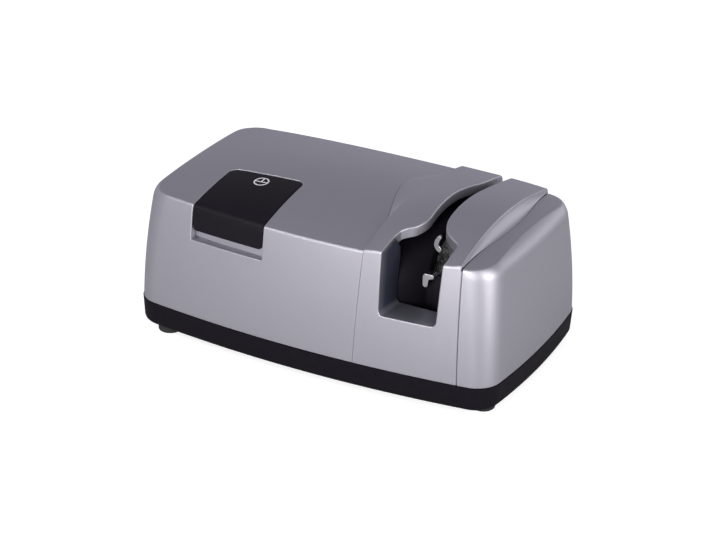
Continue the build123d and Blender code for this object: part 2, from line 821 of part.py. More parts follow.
# ---------------------------------------------------------------- start button
def make_start_button():
    """Pad that follows the body, with knuckles at the back and a post underneath."""
    lower = split_z + button_lower_edge
    outside = fillet(top_edges(inner_block(button_sink, button_sink, cover_z), edge_z - 6), edge_radius)
    prism = pad_prism(-button_gap, lower)
    pad = (prism & outside) - inner_block(button_thickness, button_thickness, split_z)
    y, z = hinge_y, hinge_z()
    inside = inner_block(1.0, 1.0, cover_z) & prism
    places = [
        button_left + knuckle_inset,
        button_middle - knuckle_length / 2,
        button_right - knuckle_inset - knuckle_length,
    ]
    for x in places:
        pad += rod_x(x, x + knuckle_length, knuckle_radius, y, z)
        web = block(x, x + knuckle_length, y - knuckle_radius, y + knuckle_radius, z, z + 4)
        pad += web & inside
    pad -= rod_x(button_left - 5, button_right + 5, hinge_radius + hinge_fit, y, z)
    seat = crown_height(button_middle, post_y) - spring_seat_below
    pad += rod_z(button_middle, post_y, seat, above_all, spring_radius + 0.8) & inside
    pad += rod_z(button_middle, post_y, plunger_top() + plunger_gap, above_all, button_post_radius) & (
        inside + rod_z(button_middle, post_y, 0, seat + 1, 5)
    )
    return pad


def plunger_top():
    return well_floor() - well_depth - pocket_wall - switch_top_below_well + plunger_proud


def make_button_spring():
    """Return spring round the actuating post."""
    low = well_floor() - well_depth + 0.1
    high = crown_height(button_middle, post_y) - spring_seat_below - 0.1
    height = high - low - spring_wire
    coil = Helix(height / spring_turns, height, spring_radius)
    section = Plane(origin=coil @ 0, z_dir=coil % 0) * Circle(spring_wire / 2)
    return Pos(button_middle, post_y, low + spring_wire / 2) * sweep(section, coil, is_frenet=True)


def make_hinge_pin():
    """Steel pin that the start button turns on."""
    ends = (button_left - hinge_socket + 0.1, button_right + hinge_socket - 0.1)
    return rod_x(*ends, hinge_radius, hinge_y, hinge_z())


def switch_box():
    top = plunger_top() - plunger_proud
    return (
        button_middle - switch_length / 2, button_middle + switch_length / 2,
        post_y - switch_width / 2, post_y + switch_width / 2,
        top - switch_height, top,
    )


def make_switch_body():
    """Snap switch with three terminals below it."""
    x0, x1, y0, y1, z0, z1 = switch_box()
    body = block(x0, x1, y0, y1, z0, z1)
    body = fillet(body.edges().filter_by(Axis.Y), 1.0)
    for x in (x0 + 3, (x0 + x1) / 2, x1 - 3):
        body += block(x - 1.6, x + 1.6, post_y - 0.4, post_y + 0.4, z0 - 6, z0 + 1)
    bore = plunger_radius + hinge_fit
    return body - rod_z(button_middle, post_y, z1 - 8, above_all, bore)


def make_switch_plunger():
    """Small plunger of the snap switch."""
    top = plunger_top()
    pin = rod_z(button_middle, post_y, top - plunger_proud - 5, top, plunger_radius)
    return fillet([edge for edge in pin.edges() if edge.center().Z > top - 0.1], 0.5)


def make_switch_bracket():
    """Folded sheet that carries the snap switch over the base floor."""
    x0, x1, y0, y1, z0, z1 = switch_box()
    foot = floor_z + outboard_boss_height
    wall = block(x0, x1, y1, y1 + sheet, foot, z1 - 2)
    flange = block(x0, x1, y1, y1 + 13, foot, foot + sheet)
    for x, y in switch_foot_places():
        flange -= rod_z(x, y, 0, above_all, screw_radius + screw_clearance)
    lighter = block(x0 + 5, x1 - 5, y1 - 1, y1 + 5, foot + 8, z0 - 4)
    return wall + flange - lighter


def make_switch_screws():
    top = floor_z + outboard_boss_height + sheet + screw_head_height
    return group(screw_down(x, y, top, floor_z) for x, y in switch_foot_places())


# ---------------------------------------------------------------- motor
def make_stator_stack():
    """Laminated C core: rotor bore in front, limb for the coil at the back."""
    z0, z1 = spindle_z - stack_half_height, spindle_z + stack_half_height
    core = block(stack_left, stack_right, stack_front, limb_far, z0, z1)
    core = fillet(core.edges().filter_by(Axis.X), 3.0)
    low, high = spindle_z - window_half_height, spindle_z + window_half_height
    core -= block(stack_left - 1, stack_right + 1, window_near, limb_near, low, high)
    core -= rod_x(stack_left - 1, stack_right + 1, rotor_radius + air_gap, 0, spindle_z)
    half = shading_bar / 2 + 0.1
    for z in (low, high):
        y = shading_place
        core -= block(stack_left - 1, stack_right + 1, y - half, y + half, z - half, z + half)
    for y, z in bolt_places():
        core -= rod_x(stack_left - 1, stack_right + 1, screw_radius + hinge_fit, y, z)
    return core


def bolt_places():
    d = motor_bolt_offset
    return [(sy * d, spindle_z + sz * d) for sy in (-1, 1) for sz in (-1, 1)]


def make_shading_rings():
    """Two copper loops round the pole corners."""
    rings = []
    for z in (spindle_z - window_half_height, spindle_z + window_half_height):
        z0, z1 = z - shading_bar / 2, z + shading_bar / 2
        y1 = shading_place + shading_bar / 2
        x0, x1 = stack_left - 0.2, stack_right + 0.2
        outer = block(x0 - shading_bar, x1 + shading_bar, stack_front - shading_bar - 0.1, y1, z0, z1)
        rings.append(outer - block(x0, x1, stack_front - 0.1, y1 - shading_bar, z0 - 1, z1 + 1))
    return group(rings)


def limb_tube(inner, outer, z_half):
    """Rectangular tube round the coil limb, between two margins."""
    z0, z1 = spindle_z - z_half, spindle_z + z_half
    tube = block(stack_left - outer, stack_right + outer, limb_near - outer, limb_far + outer, z0, z1)
    tube = fillet(tube.edges().filter_by(Axis.Z), min(4.0, 0.9 * outer))
    return tube - block(
        stack_left - inner, stack_right + inner, limb_near - inner, limb_far + inner, z0 - 1, z1 + 1
    )


def make_coil_bobbin():
    """Moulded bobbin: sleeve and two flanges."""
    half = window_half_height - 0.2
    sleeve = limb_tube(bobbin_gap, bobbin_gap + bobbin_wall, half)
    wide = bobbin_gap + bobbin_wall + coil_build
    flange = limb_tube(bobbin_gap, wide, bobbin_flange / 2)
    shift = half - bobbin_flange / 2
    return sleeve + Pos(0, 0, shift) * flange + Pos(0, 0, -shift) * flange


def make_coil_winding():
    """Copper winding between the bobbin's flanges."""
    inner = bobbin_gap + bobbin_wall + 0.05
    half = window_half_height - 0.3 - bobbin_flange
    return limb_tube(inner, inner + coil_build - 1.0, half)


def make_bracket(plate_x0, inward):
    """Die-cast bearing bracket: plate, four standoffs, bearing boss and foot."""
    plate_x1 = plate_x0 + bracket_thickness
    low = foot_drop + mount_underside
    plate = block(plate_x0, plate_x1, -bracket_half, bracket_half, low, spindle_z + bracket_half)
    plate = fillet(plate.edges().filter_by(Axis.X), 2.0)
    for y, z in ((-12.5, 0.0), (12.5, 0.0), (0.0, 14.5), (0.0, -14.5)):
        plate -= rod_x(plate_x0 - 1, plate_x1 + 1, bracket_window - 1.5, y, spindle_z + z)
    inner_face = plate_x1 if inward > 0 else plate_x0
    stack_face = stack_left if inward > 0 else stack_right
    span = sorted((inner_face - inward * 0.5, stack_face))
    for y, z in bolt_places():
        plate += rod_x(span[0], span[1], standoff_radius, y, z)
    middle = (plate_x0 + plate_x1) / 2
    half = bearing_boss_length / 2
    plate += rod_x(middle - half, middle + half, bearing_boss_radius, 0, spindle_z)
    reach = sorted((inner_face - inward, inner_face + inward * mount_reach))
    foot = block(reach[0], reach[1], -mount_y - 7, mount_y + 7, low, low + mount_foot_thickness)
    plate += foot
    for y, z in bolt_places():
        plate -= rod_x(plate_x0 - 30, plate_x1 + 30, screw_radius + hinge_fit, y, z)
    for x, y in mount_places():
        plate -= rod_z(x, y, low - 1, low + mount_foot_thickness + 1, screw_radius + screw_clearance)
    return plate - rod_x(plate_x0 - 9, plate_x1 + 9, bush_radius + fixed_fit, 0, spindle_z)


def bracket_left_x():
    return stack_left - standoff_left - bracket_thickness


def bracket_right_x():
    return stack_right + standoff_right


def make_bush(middle):
    """Sintered bronze bush."""
    half = bush_length / 2
    return ring_x(middle - half, middle + half, bush_radius, spindle_radius + running_fit)


def make_motor_screws():
    """Four long screws that clamp the brackets on the stack."""
    x0, x1 = bracket_left_x(), bracket_right_x() + bracket_thickness
    screws = []
    for y, z in bolt_places():
        head = rod_x(x0 - screw_head_height, x0, screw_head_radius, y, z)
        screws.append(head + rod_x(x0, x1 + 1, screw_radius, y, z))
    return group(screws)


def make_motor_nuts():
    """Nuts on the long screws."""
    x1 = bracket_right_x() + bracket_thickness
    nuts = []
    for y, z in bolt_places():
        hexagon = Pos(x1, y, z) * Rot(0, 90, 0) * extrude(RegularPolygon(3.2, 6), 2.4)
        nuts.append(hexagon - rod_x(x1 - 1, x1 + 5, screw_radius + thread_fit, y, z))
    return group(nuts)


def make_motor_mounts():
    """Four rubber cushions under the motor's feet."""
    low, high = mount_base_z(), foot_drop + mount_underside
    mounts = []
    for x, y in mount_places():
        cushion = rod_z(x, y, low, high, mount_radius)
        cushion -= rod_z(x, y, low - 1, high + 1, screw_radius + screw_clearance)
        around = rod_z(x, y, low + 2, high - 2, mount_radius + 1)
        mounts.append(cushion - (around - rod_z(x, y, low, high, mount_radius - 1)))
    return group(mounts)


def make_mount_screws():
    top = foot_drop + mount_underside + mount_foot_thickness + screw_head_height
    return group(screw_down(x, y, top, floor_z + 0.5) for x, y in mount_places())


# ---------------------------------------------------------------- spindle and wheels
def make_rotor_core():
    """Laminated rotor."""
    return ring_x(stack_left, stack_right, rotor_radius, spindle_radius + fixed_fit)


def make_rotor_rings():
    """Cast end rings of the rotor's cage."""
    inner = rotor_ring_radius - 5
    left = ring_x(stack_left - rotor_ring_length, stack_left, rotor_ring_radius, inner)
    right = ring_x(stack_right, stack_right + rotor_ring_length, rotor_ring_radius, inner)
    return group([left, right])


def make_fan():
    """Moulded cooling fan: hub, back disc and straight blades."""
    x1 = bracket_left_x() + bracket_thickness / 2 - bush_length / 2 - fan_gap
    x0 = x1 - fan_width
    fan = ring_x(x0, x1, fan_hub_radius, spindle_radius + fixed_fit)
    fan += ring_x(x1 - fan_disc, x1, fan_radius, fan_hub_radius - 0.5)
    root, tip = spindle_z + fan_hub_radius - 1, spindle_z + fan_radius
    blade = block(x0, x1 - fan_disc + 0.2, -fan_blade / 2, fan_blade / 2, root, tip)
    axis = Axis((0, 0, spindle_z), (1, 0, 0))
    for i in range(fan_blades):
        fan += blade.rotate(axis, i * 360 / fan_blades)
    return fan


def notch_face(side):
    """X of a wheel's narrow face, side -1 for the left wheel."""
    return blade_plane + side * wheel_gap / 2


def wheel_back(side):
    return notch_face(side) + side * (wheel_bevel + wheel_rim)


def make_wheel(side):
    """Abrasive wheel: a bevel towards the knife's path, then a straight rim."""
    x0 = notch_face(side)
    x1, x2 = x0 + side * wheel_bevel, wheel_back(side)
    return turned([
        (x0, hub_radius), (x0, wheel_notch_radius), (x1, wheel_radius),
        (x2, wheel_radius), (x2, hub_radius),
    ])


def make_wheel_hub(side):
    """Hub that carries a wheel."""
    ends = sorted((notch_face(side), wheel_back(side) + side * hub_overhang))
    return ring_x(ends[0], ends[1], hub_radius - fixed_fit, spindle_radius + fixed_fit)


def make_spindle_collar():
    """Collar that the left hub bears on."""
    x1 = wheel_back(-1) - hub_overhang
    return ring_x(x1 - collar_length, x1, collar_radius, spindle_radius + fixed_fit)


def make_spindle_clips():
    """Retaining rings right of the hubs and left of the fan."""
    inner = spindle_radius + fixed_fit
    x0 = wheel_back(1) + hub_overhang
    fan_left = bracket_left_x() + bracket_thickness / 2 - bush_length / 2 - fan_gap - fan_width
    right = ring_x(x0, x0 + clip_length, clip_radius, inner)
    left = ring_x(fan_left - clip_length, fan_left, clip_radius, inner)
    return group([left, right])


def make_grit_flinger():
    """Disc that keeps filings out of the motor."""
    return turned([
        (flinger_place, spindle_radius + fixed_fit), (flinger_place + 3, spindle_radius + fixed_fit),
        (flinger_place + 3, spindle_radius + 2), (flinger_place + 1, spindle_radius + 2),
        (flinger_place + 1, flinger_radius), (flinger_place, flinger_radius),
    ])


def make_bearing_post():
    """Outboard bearing block on the base."""
    x0, x1 = outboard_place - outboard_thickness / 2, outboard_place + outboard_thickness / 2
    foot = floor_z + outboard_boss_height
    post = block(x0, x1, -outboard_half_width, outboard_half_width, foot, spindle_z)
    post += rod_x(x0, x1, outboard_half_width, 0, spindle_z)
    post += block(x0, x1, -outboard_flange, outboard_flange, foot, foot + outboard_flange_height)
    for x, y in outboard_screws():
        post -= rod_z(x, y, 0, foot + outboard_flange_height + 1, screw_radius + screw_clearance)
    return post - rod_x(x0 - 1, x1 + 1, bush_radius + fixed_fit, 0, spindle_z)


def make_bearing_screws():
    top = floor_z + outboard_boss_height + outboard_flange_height + screw_head_height
    return group(screw_down(x, y, top, floor_z) for x, y in outboard_screws())


# ---------------------------------------------------------------- wheel guard
def make_wheel_guard():
    """Black chamber round the wheels, slit for the blade, with a window on the right wheel."""
    z0, z1 = foot_drop + guard_bottom, foot_drop + guard_top
    slit_left, slit_right = blade_plane - guard_slit / 2, blade_plane + guard_slit / 2
    nose = ThreePointArc(
        (guard_plate_left, guard_nose, z0),
        (guard_left + 5.0, guard_nose + 1.3, z0),
        (slit_left, -guard_front - 1.5, z0),
    )
    corners = [
        (slit_left, -guard_front - 1.5, z0),
        (slit_left, -guard_front + guard_wall, z0),
        (guard_plate_left, -guard_front + guard_wall, z0),
        (guard_plate_left, guard_nose, z0),
    ]
    panel = [nose] + [Line(corners[i], corners[i + 1]) for i in range(3)]
    guard = block(guard_left, guard_right, -guard_front, guard_front, z0, z1)
    guard += extrude(make_face(panel), amount=z1 - z0 - panel_drop, dir=(0, 0, 1))
    guard += block(guard_plate_left, guard_plate_right, -guard_front, -guard_front + guard_wall, z0, z1)
    radius = wheel_radius + wheel_clearance
    inner = (guard_left + guard_wall, guard_right - guard_wall)
    guard -= rod_x(*inner, radius, 0, spindle_z)
    guard -= block(*inner, -radius, radius, 0, spindle_z)
    hub = hub_radius + hub_clearance
    guard -= rod_x(guard_left - 5, guard_right + 5, hub, 0, spindle_z)
    guard -= block(guard_left - 5, guard_right + 5, -hub, hub, 0, spindle_z)
    guard -= block(slit_left, slit_right, -beside_all, beside_all, path_z, above_all)
    guard -= slab_xz(
        [
            (slit_left, z1 - guard_funnel_depth), (slit_right, z1 - guard_funnel_depth),
            (slit_right + guard_funnel, z1 + 1), (slit_left - guard_funnel, z1 + 1),
        ],
        -beside_all, beside_all,
    )
    sill = foot_drop + guard_window_floor
    guard -= block(slit_right - 1, inner[1], -beside_all, -radius + 8, sill, z1 - 4)
    for x0 in (guard_left, guard_right - guard_leg):
        for y0 in (-guard_front, guard_front - guard_leg):
            guard += block(x0, x0 + guard_leg, y0, y0 + guard_leg, floor_z, z0 + 4)
    return guard - make_blade_rest() - make_blade_spring()


def make_blade_spring():
    """Bent leaf that steadies the blade beside the slit."""
    x = blade_plane + guard_slit / 2
    t = blade_spring_thickness
    y1 = -guard_front
    z = path_z + 12.5
    points = [
        (x + 1.6, z + 10.0), (x + 0.1, z + 7.0), (x + 0.1, z + 4.5), (x + 2.6, z), (x + 6.5, z),
        (x + 6.5, z + t), (x + 2.9, z + t), (x + 0.1 + t, z + 4.8), (x + 0.1 + t, z + 6.7),
        (x + 1.6 + t, z + 10.0),
    ]
    leaf = slab_xz(points, y1 - blade_spring_width, y1)
    return leaf + block(x + 2.6, x + 6.5, y1 - t, y1, z, z + 5.0)


def make_blade_rest():
    """Bent tab at the foot of the blade slit."""
    x = blade_plane - guard_slit / 2
    y1 = -guard_front - 4.5
    t = blade_rest_thickness
    top = foot_drop + rest_top
    bar = block(x - 1.9, x + 4.4, y1 - t, y1, top - 3.0, top)
    leg = block(x - 1.9, x + 1.4, y1 - t, y1, top - 7.2, top)
    tongue = block(x - 1.9, x + 1.4, y1 - t, -guard_front + 1.0, top - 8.2, top - 7.0)
    return bar + leg + tongue


# ---------------------------------------------------------------- wiring
def make_cord_gland():
    """Rubber grommet in the back wall."""
    inner = gland_plane - gland_seat
    body = rod_y(cord_x, inner, gland_plane, gland_radius, cord_z)
    body += rod_y(cord_x, gland_plane, gland_plane + gland_flange, gland_flange_radius, cord_z)
    body += rod_y(cord_x, inner - gland_flange, inner, gland_flange_radius, cord_z)
    return body - rod_y(cord_x, inner - 9, gland_plane + 9, cord_radius, cord_z)


def make_cord_clamp():
    """Saddle that will hold the cord."""
    y0, y1 = clamp_y - clamp_half_width, clamp_y + clamp_half_width
    foot = floor_z + outboard_boss_height
    clamp = block(cord_x - 13.5, cord_x + 13.5, y0, y1, foot, foot + clamp_strap)
    upper = block(cord_x - 9, cord_x + 9, y0, y1, foot, foot + 20)
    clamp += rod_y(cord_x, y0, y1, cord_radius + 2, foot + 1) & upper
    clamp -= rod_y(cord_x, y0 - 1, y1 + 1, cord_radius, foot + 1)
    for x, y in clamp_places():
        clamp -= rod_z(x, y, 0, above_all, screw_radius + screw_clearance)
    return clamp


def make_clamp_screws():
    top = floor_z + outboard_boss_height + clamp_strap + screw_head_height
    return group(screw_down(x, y, top, floor_z) for x, y in clamp_places())


def terminal_corner():
    return (terminal_x, terminal_y, floor_z)


def terminal_rows():
    """Y of the terminal's two wires."""
    first = terminal_y + (terminal_size[1] - terminal_pitch) / 2
    return (first, first + terminal_pitch)


def make_terminal_block():
    """Two-way screw terminal."""
    x, y, z = terminal_corner()
    length, width, height = terminal_size
    body = block(x, x + length, y, y + width, z, z + height)
    for yi in terminal_rows():
        body -= rod_x(x - 1, x + length + 1, 1.6, yi, z + terminal_wire_z)
        for xi in terminal_screw_ends:
            body -= rod_z(x + xi, yi, z + terminal_wire_z, z + height + 1, 1.5)
    return body


def make_terminal_screws():
    """Brass screws of the terminal."""
    x, y, z = terminal_corner()
    places = [(x + xi, yi) for yi in terminal_rows() for xi in terminal_screw_ends]
    return group(rod_z(xi, yi, z + 6.8, z + 10, 1.45) for xi, yi in places)


def make_suppressor():
    """Interference capacitor."""
    x, y = suppressor_x, suppressor_y
    length, width, height = suppressor_size
    box = block(x, x + length, y, y + width, floor_z, floor_z + height)
    return fillet(box.edges().filter_by(Axis.Z), 1.0)


def tube(points):
    """Insulated lead along a bent line."""
    line = FilletPolyline(points, radius=lead_bend)
    section = Plane(origin=line @ 0, z_dir=line % 0) * Circle(lead_radius)
    return sweep(section, line)


def make_lead_brown():
    """Lead from the terminal to the switch."""
    x = terminal_x + terminal_size[0]
    y = terminal_rows()[0]
    z = floor_z + terminal_wire_z
    x0, x1, y0, y1, z0, z1 = switch_box()
    blade_end = z0 - 7.2
    return tube([
        (x - 1.0, y, z), (x + 8.0, y, z), (x0 - 6.0, post_y, z),
        (x0 + 3.0, post_y, z), (x0 + 3.0, post_y, blade_end),
    ])


def make_lead_blue():
    """Lead from the terminal to the coil."""
    x = terminal_x + terminal_size[0]
    y = terminal_rows()[1]
    z = floor_z + terminal_wire_z
    coil_x = stack_left - bobbin_gap - bobbin_wall - coil_build
    return tube([
        (x - 1.0, y, z), (x + 12.0, y, z), (coil_x - 14.0, limb_near - 6, z + 3),
        (coil_x - 8.0, limb_near, spindle_z), (coil_x - 0.3, limb_near, spindle_z),
    ])


# ---------------------------------------------------------------- all parts
def main():
    os.makedirs("parts", exist_ok=True)
    skin = make_skin()
    cavity = inner_block(cover_wall, cover_wall, split_z - 5)
    write("motor_cover", make_motor_cover(skin, cavity))
    write("guide_cover", make_guide_cover())
    write("end_cover", make_end_cover(skin, cavity))
    write("base_tray", make_base_tray())
    for name, (x, y) in foot_places().items():
        write(name, make_foot(x, y))
    write("filings_tray", make_filings_tray())
    write("door_screw", make_door_screw())
    write("base_screws", make_base_screws())
    write("start_button", make_start_button())
    write("button_spring", make_button_spring())
    write("hinge_pin", make_hinge_pin())
    write("switch_body", make_switch_body())
    write("switch_plunger", make_switch_plunger())
    write("switch_bracket", make_switch_bracket())
    write("switch_screws", make_switch_screws())
    write("stator_stack", make_stator_stack())
    write("shading_rings", make_shading_rings())
    write("coil_bobbin", make_coil_bobbin())
    write("coil_winding", make_coil_winding())
    write("motor_bracket_left", make_bracket(bracket_left_x(), 1))
    write("motor_bracket_right", make_bracket(bracket_right_x(), -1))
    write("bush_left", make_bush(bracket_left_x() + bracket_thickness / 2))
    write("bush_right", make_bush(bracket_right_x() + bracket_thickness / 2))
    write("bush_outboard", make_bush(outboard_place))
    write("motor_screws", make_motor_screws())
    write("motor_nuts", make_motor_nuts())
    write("motor_mounts", make_motor_mounts())
    write("mount_screws", make_mount_screws())
    write("spindle", rod_x(spindle_left, spindle_right, spindle_radius, 0, spindle_z))
    write("rotor_core", make_rotor_core())
    write("rotor_rings", make_rotor_rings())
    write("fan", make_fan())
    for side, word in ((-1, "left"), (1, "right")):
        write("wheel_" + word, make_wheel(side))
        write("wheel_hub_" + word, make_wheel_hub(side))
    write("spindle_collar", make_spindle_collar())
    write("spindle_clips", make_spindle_clips())
    write("grit_flinger", make_grit_flinger())
    write("bearing_post", make_bearing_post())
    write("bearing_screws", make_bearing_screws())
    write("wheel_guard", make_wheel_guard())
    write("blade_spring", make_blade_spring())
    write("blade_rest", make_blade_rest())
    write("cord_gland", make_cord_gland())
    write("cord_clamp", make_cord_clamp())
    write("clamp_screws", make_clamp_screws())
    write("terminal_block", make_terminal_block())
    write("terminal_screws", make_terminal_screws())
    write("suppressor", make_suppressor())
    write("lead_brown", make_lead_brown())
    write("lead_blue", make_lead_blue())


main()
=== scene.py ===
# %% [markdown]
# A knife sharpener is made of a few smooth silver covers on a black base, with a black start button and, behind a
# recess, the grinding wheels. The imported model gives every piece its place and size. It is loaded first, as a frame
# that nothing here moves.

# %% Load the frame
import json
import math
import bpy
import numpy as np
from mathutils import Matrix
from mathutils.geometry import tessellate_polygon


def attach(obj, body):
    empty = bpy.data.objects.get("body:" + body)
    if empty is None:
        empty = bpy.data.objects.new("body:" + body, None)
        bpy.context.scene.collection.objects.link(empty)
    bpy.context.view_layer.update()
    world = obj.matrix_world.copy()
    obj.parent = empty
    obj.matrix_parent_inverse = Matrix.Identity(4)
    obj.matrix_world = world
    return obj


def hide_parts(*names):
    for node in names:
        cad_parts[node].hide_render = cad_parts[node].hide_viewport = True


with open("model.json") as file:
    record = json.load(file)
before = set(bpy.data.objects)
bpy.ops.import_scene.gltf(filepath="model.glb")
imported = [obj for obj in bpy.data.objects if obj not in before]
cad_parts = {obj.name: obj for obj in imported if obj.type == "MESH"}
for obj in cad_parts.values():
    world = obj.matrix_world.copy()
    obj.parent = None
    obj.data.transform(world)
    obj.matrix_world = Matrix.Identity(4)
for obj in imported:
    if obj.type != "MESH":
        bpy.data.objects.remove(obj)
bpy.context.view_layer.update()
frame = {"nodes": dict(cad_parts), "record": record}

# %% [markdown]
# Lengths here are in millimetres, as a maker would write them, and become metres only when a mesh is made. These are
# the sizes that the covers share: where the base ends, where the top edge runs, how far the walls lean in, and how
# the top is crowned.

# %% Sizes of the body
MM = 0.001
SPLIT = 17.7  # parting line between base and covers
EDGE = 80.5  # height of the top edge
RISE = EDGE - SPLIT
HALF = np.array([110.0, 65.75])  # half length and half depth at the parting line
STEP = 0.4  # the base stands this far proud of the covers
GAP = 0.3  # between the base and the covers
SKIN = 2.5  # thickness of a cover
EDGE_RADIUS, RADIUS_GROWS = (1.8, 4.0), (10.0, 52.0)  # top edge in front and at the back, and y where it changes
LEAN = (0.0179, 0.00098)  # how far the walls lean in: this times the height, and this times its square
BOW_SIDE, BOW_END = 8.1, (3.8, 2.45)  # how far the long walls and the ends are bowed, the ends below and above
CORNER = (15.0, 17.7)  # radius of the outline's corners, below and above
ROUND_START, ROUND_SIZE = 4.5, 9.0  # the ends turn in from this far under the top edge, over this height
LEFT_SEAM = (30.9, 33.3)  # x at the parting line and at the top edge
RIGHT_SEAM = (89.1, 87.1)
SEAM_GAP = {LEFT_SEAM: 0.1, RIGHT_SEAM: 0.18}
LEFT_FLARE, LEFT_GROWS, LEFT_SHRINKS = 13.0, (-44.0, 14.0), (8.0, 60.0)  # swing over the top, and y along it
RIGHT_FLARE, RIGHT_REACH = 4.9, 50.0


def smoothstep(low, high, value):
    """0 below low, 1 above high, and 3s^2 - 2s^3 between them, with s the share of the way."""
    s = np.clip((value - low) / (high - low), 0.0, 1.0)
    return s * s * (3.0 - 2.0 * s)


def flare(seam, y):
    """How far a seam swings out over the top, to the left or the right, as a smooth hump from front to back."""
    if seam == LEFT_SEAM:
        return -LEFT_FLARE * smoothstep(*LEFT_GROWS, y) * (1 - smoothstep(*LEFT_SHRINKS, y))
    return RIGHT_FLARE * np.maximum(1 - (y / RIGHT_REACH) ** 2, 0.0) ** 2


def seam_x(seam, z, y=-HALF[1]):
    """x of a slanted seam: a straight line from its foot to the top edge and on, with the flare over the top."""
    x = seam[0] + (seam[1] - seam[0]) * (z - SPLIT) / RISE
    return x + flare(seam, y) * smoothstep(EDGE - 1.0, EDGE + 3.0, z)


# %% [markdown]
# Every cover is described by a field: a number for each point of space that is zero on the surface, negative inside
# and, near the surface, close to the distance from it. A field is easier to round, sink or cut than a mesh, and its
# slope is the exact direction in which the surface faces, which keeps the highlights clean. The first field is the
# outline seen from above, a rectangle with bowed sides and round corners.

# %% The outline as a field
NEAR = 0.05  # how far to either side a slope is read


def end_rounding(z):
    """How far the ends have turned in: 9 (0.5 c^2 + 0.18 c^4), c running from 0 under the top edge, then straight."""
    share = np.maximum(0.0, z - EDGE + ROUND_START) / ROUND_SIZE
    curved = np.minimum(share, 1.1)
    straight = (share - curved) * (curved + 0.72 * curved**3)
    return ROUND_SIZE * (0.5 * curved**2 + 0.18 * curved**4 + straight)


def lean(z):
    """How far the walls lean in at a height, none below the parting line."""
    above = np.maximum(z - SPLIT, 0.0)
    return LEAN[0] * above + LEAN[1] * above**2


def outline(p, inset, rounded=1.0):
    """Distance to the outline at each point's height.

    Both sides and both ends are arcs of large circles, so the distance to each is a radius taken from the distance
    to its centre. The corner's circle touches both, so its centre is where two smaller circles cross. It shrinks by
    0.8 of the inset, and its radius stays at least 2.
    """
    x, y, z = np.abs(p[:, 0]), np.abs(p[:, 1]), p[:, 2]
    a = HALF[0] - lean(z) - inset - rounded * end_rounding(z)
    b = HALF[1] - lean(z) - inset
    share = (z - SPLIT) / RISE
    bow_end = BOW_END[0] + (BOW_END[1] - BOW_END[0]) * share
    ca, cb = a - bow_end, b - BOW_SIDE
    side = (ca**2 + BOW_SIDE**2) / (2 * BOW_SIDE)
    end = (cb**2 + bow_end**2) / (2 * bow_end)
    down, left = side - b, end - a
    corner = np.maximum(2.0, CORNER[0] + (CORNER[1] - CORNER[0]) * share - 0.8 * inset)
    d1, d2 = side - corner, end - corner
    alpha = (d1**2 - d2**2 - down**2 + left**2) / (2 * down)
    beta = left / down
    qa, qb, qc = 1 + beta**2, 2 * beta * (alpha + down), (alpha + down) ** 2 - d1**2
    cx = (-qb + np.sqrt(qb**2 - 4 * qa * qc)) / (2 * qa)
    cy = alpha + beta * cx
    wx, wy = x - cx, y - cy
    in_corner = ((cx + left) * wy - cy * wx > 0) & (wx * (cy + down) - wy * cx > 0)
    to_side = np.hypot(x, y + down) - side
    to_end = np.hypot(x + left, y) - end
    return np.where(in_corner, np.hypot(wx, wy) - corner, np.maximum(to_side, to_end))


def wall(p, inset, rounded=1.0):
    """Distance to the leaning wall: the outline's distance, divided by the length of its slope in space."""
    lift = np.array([0.0, 0.0, NEAR])
    climb = (outline(p + lift, inset, rounded) - outline(p - lift, inset, rounded)) / (2 * NEAR)
    return outline(p, inset, rounded) / np.sqrt(1 + climb**2)


# %% [markdown]
# The tops are height maps. The body's top is a shallow crown, a parabola across and along. The guide cover's arch is
# higher, with its heights given at six places from front to back and at four from left to right, and a polynomial
# runs through them. On each side of the arch a flank comes down to the crown, and the seam between the covers runs
# along the flank's foot.

# %% The tops as height maps
CROWN, CROWN_HALF, CROWN_DROP = 9.0, (105.0, 60.75), 0.62  # rise in the middle, half sizes, share lost at the ends


def crown(x, y):
    """Highest in the middle, lower towards the ends, falling as a parabola to the front and back."""
    rise = CROWN * (1 - CROWN_DROP * (x / CROWN_HALF[0]) ** 2)
    return EDGE + rise * (1 - (y / CROWN_HALF[1]) ** 2)


def through(value, places, heights):
    """The polynomial through the places and heights, as a sum of one term for each place (Lagrange)."""
    total = 0.0
    for i, place in enumerate(places):
        term = heights[i]
        for other in places[:i] + places[i + 1:]:
            term = term * (value - other) / (place - other)
        total = total + term
    return total


ARCH_Y = [-60.0, -45.0, -22.0, 0.0, 30.0, 60.0]
ARCH_X = [33.3, 43.5, 77.2, 86.3]
ARCH_RISE = [
    (0.6, 5.3, 9.6, 10.2, 8.0, 3.0), (1.3, 6.6, 10.9, 11.4, 8.7, 3.0),
    (-0.5, 5.0, 10.6, 12.0, 9.0, 2.9), (0.3, 5.7, 10.7, 11.9, 8.8, 2.6),
]


def arch(x, y):
    """Height of the guide cover's arch: a fifth-degree curve in y for each column, a cubic in x."""
    columns = [through(y, ARCH_Y, rises) for rises in ARCH_RISE]
    return EDGE + through(x, ARCH_X, columns)


CREST = 86.0  # x where the right flank begins


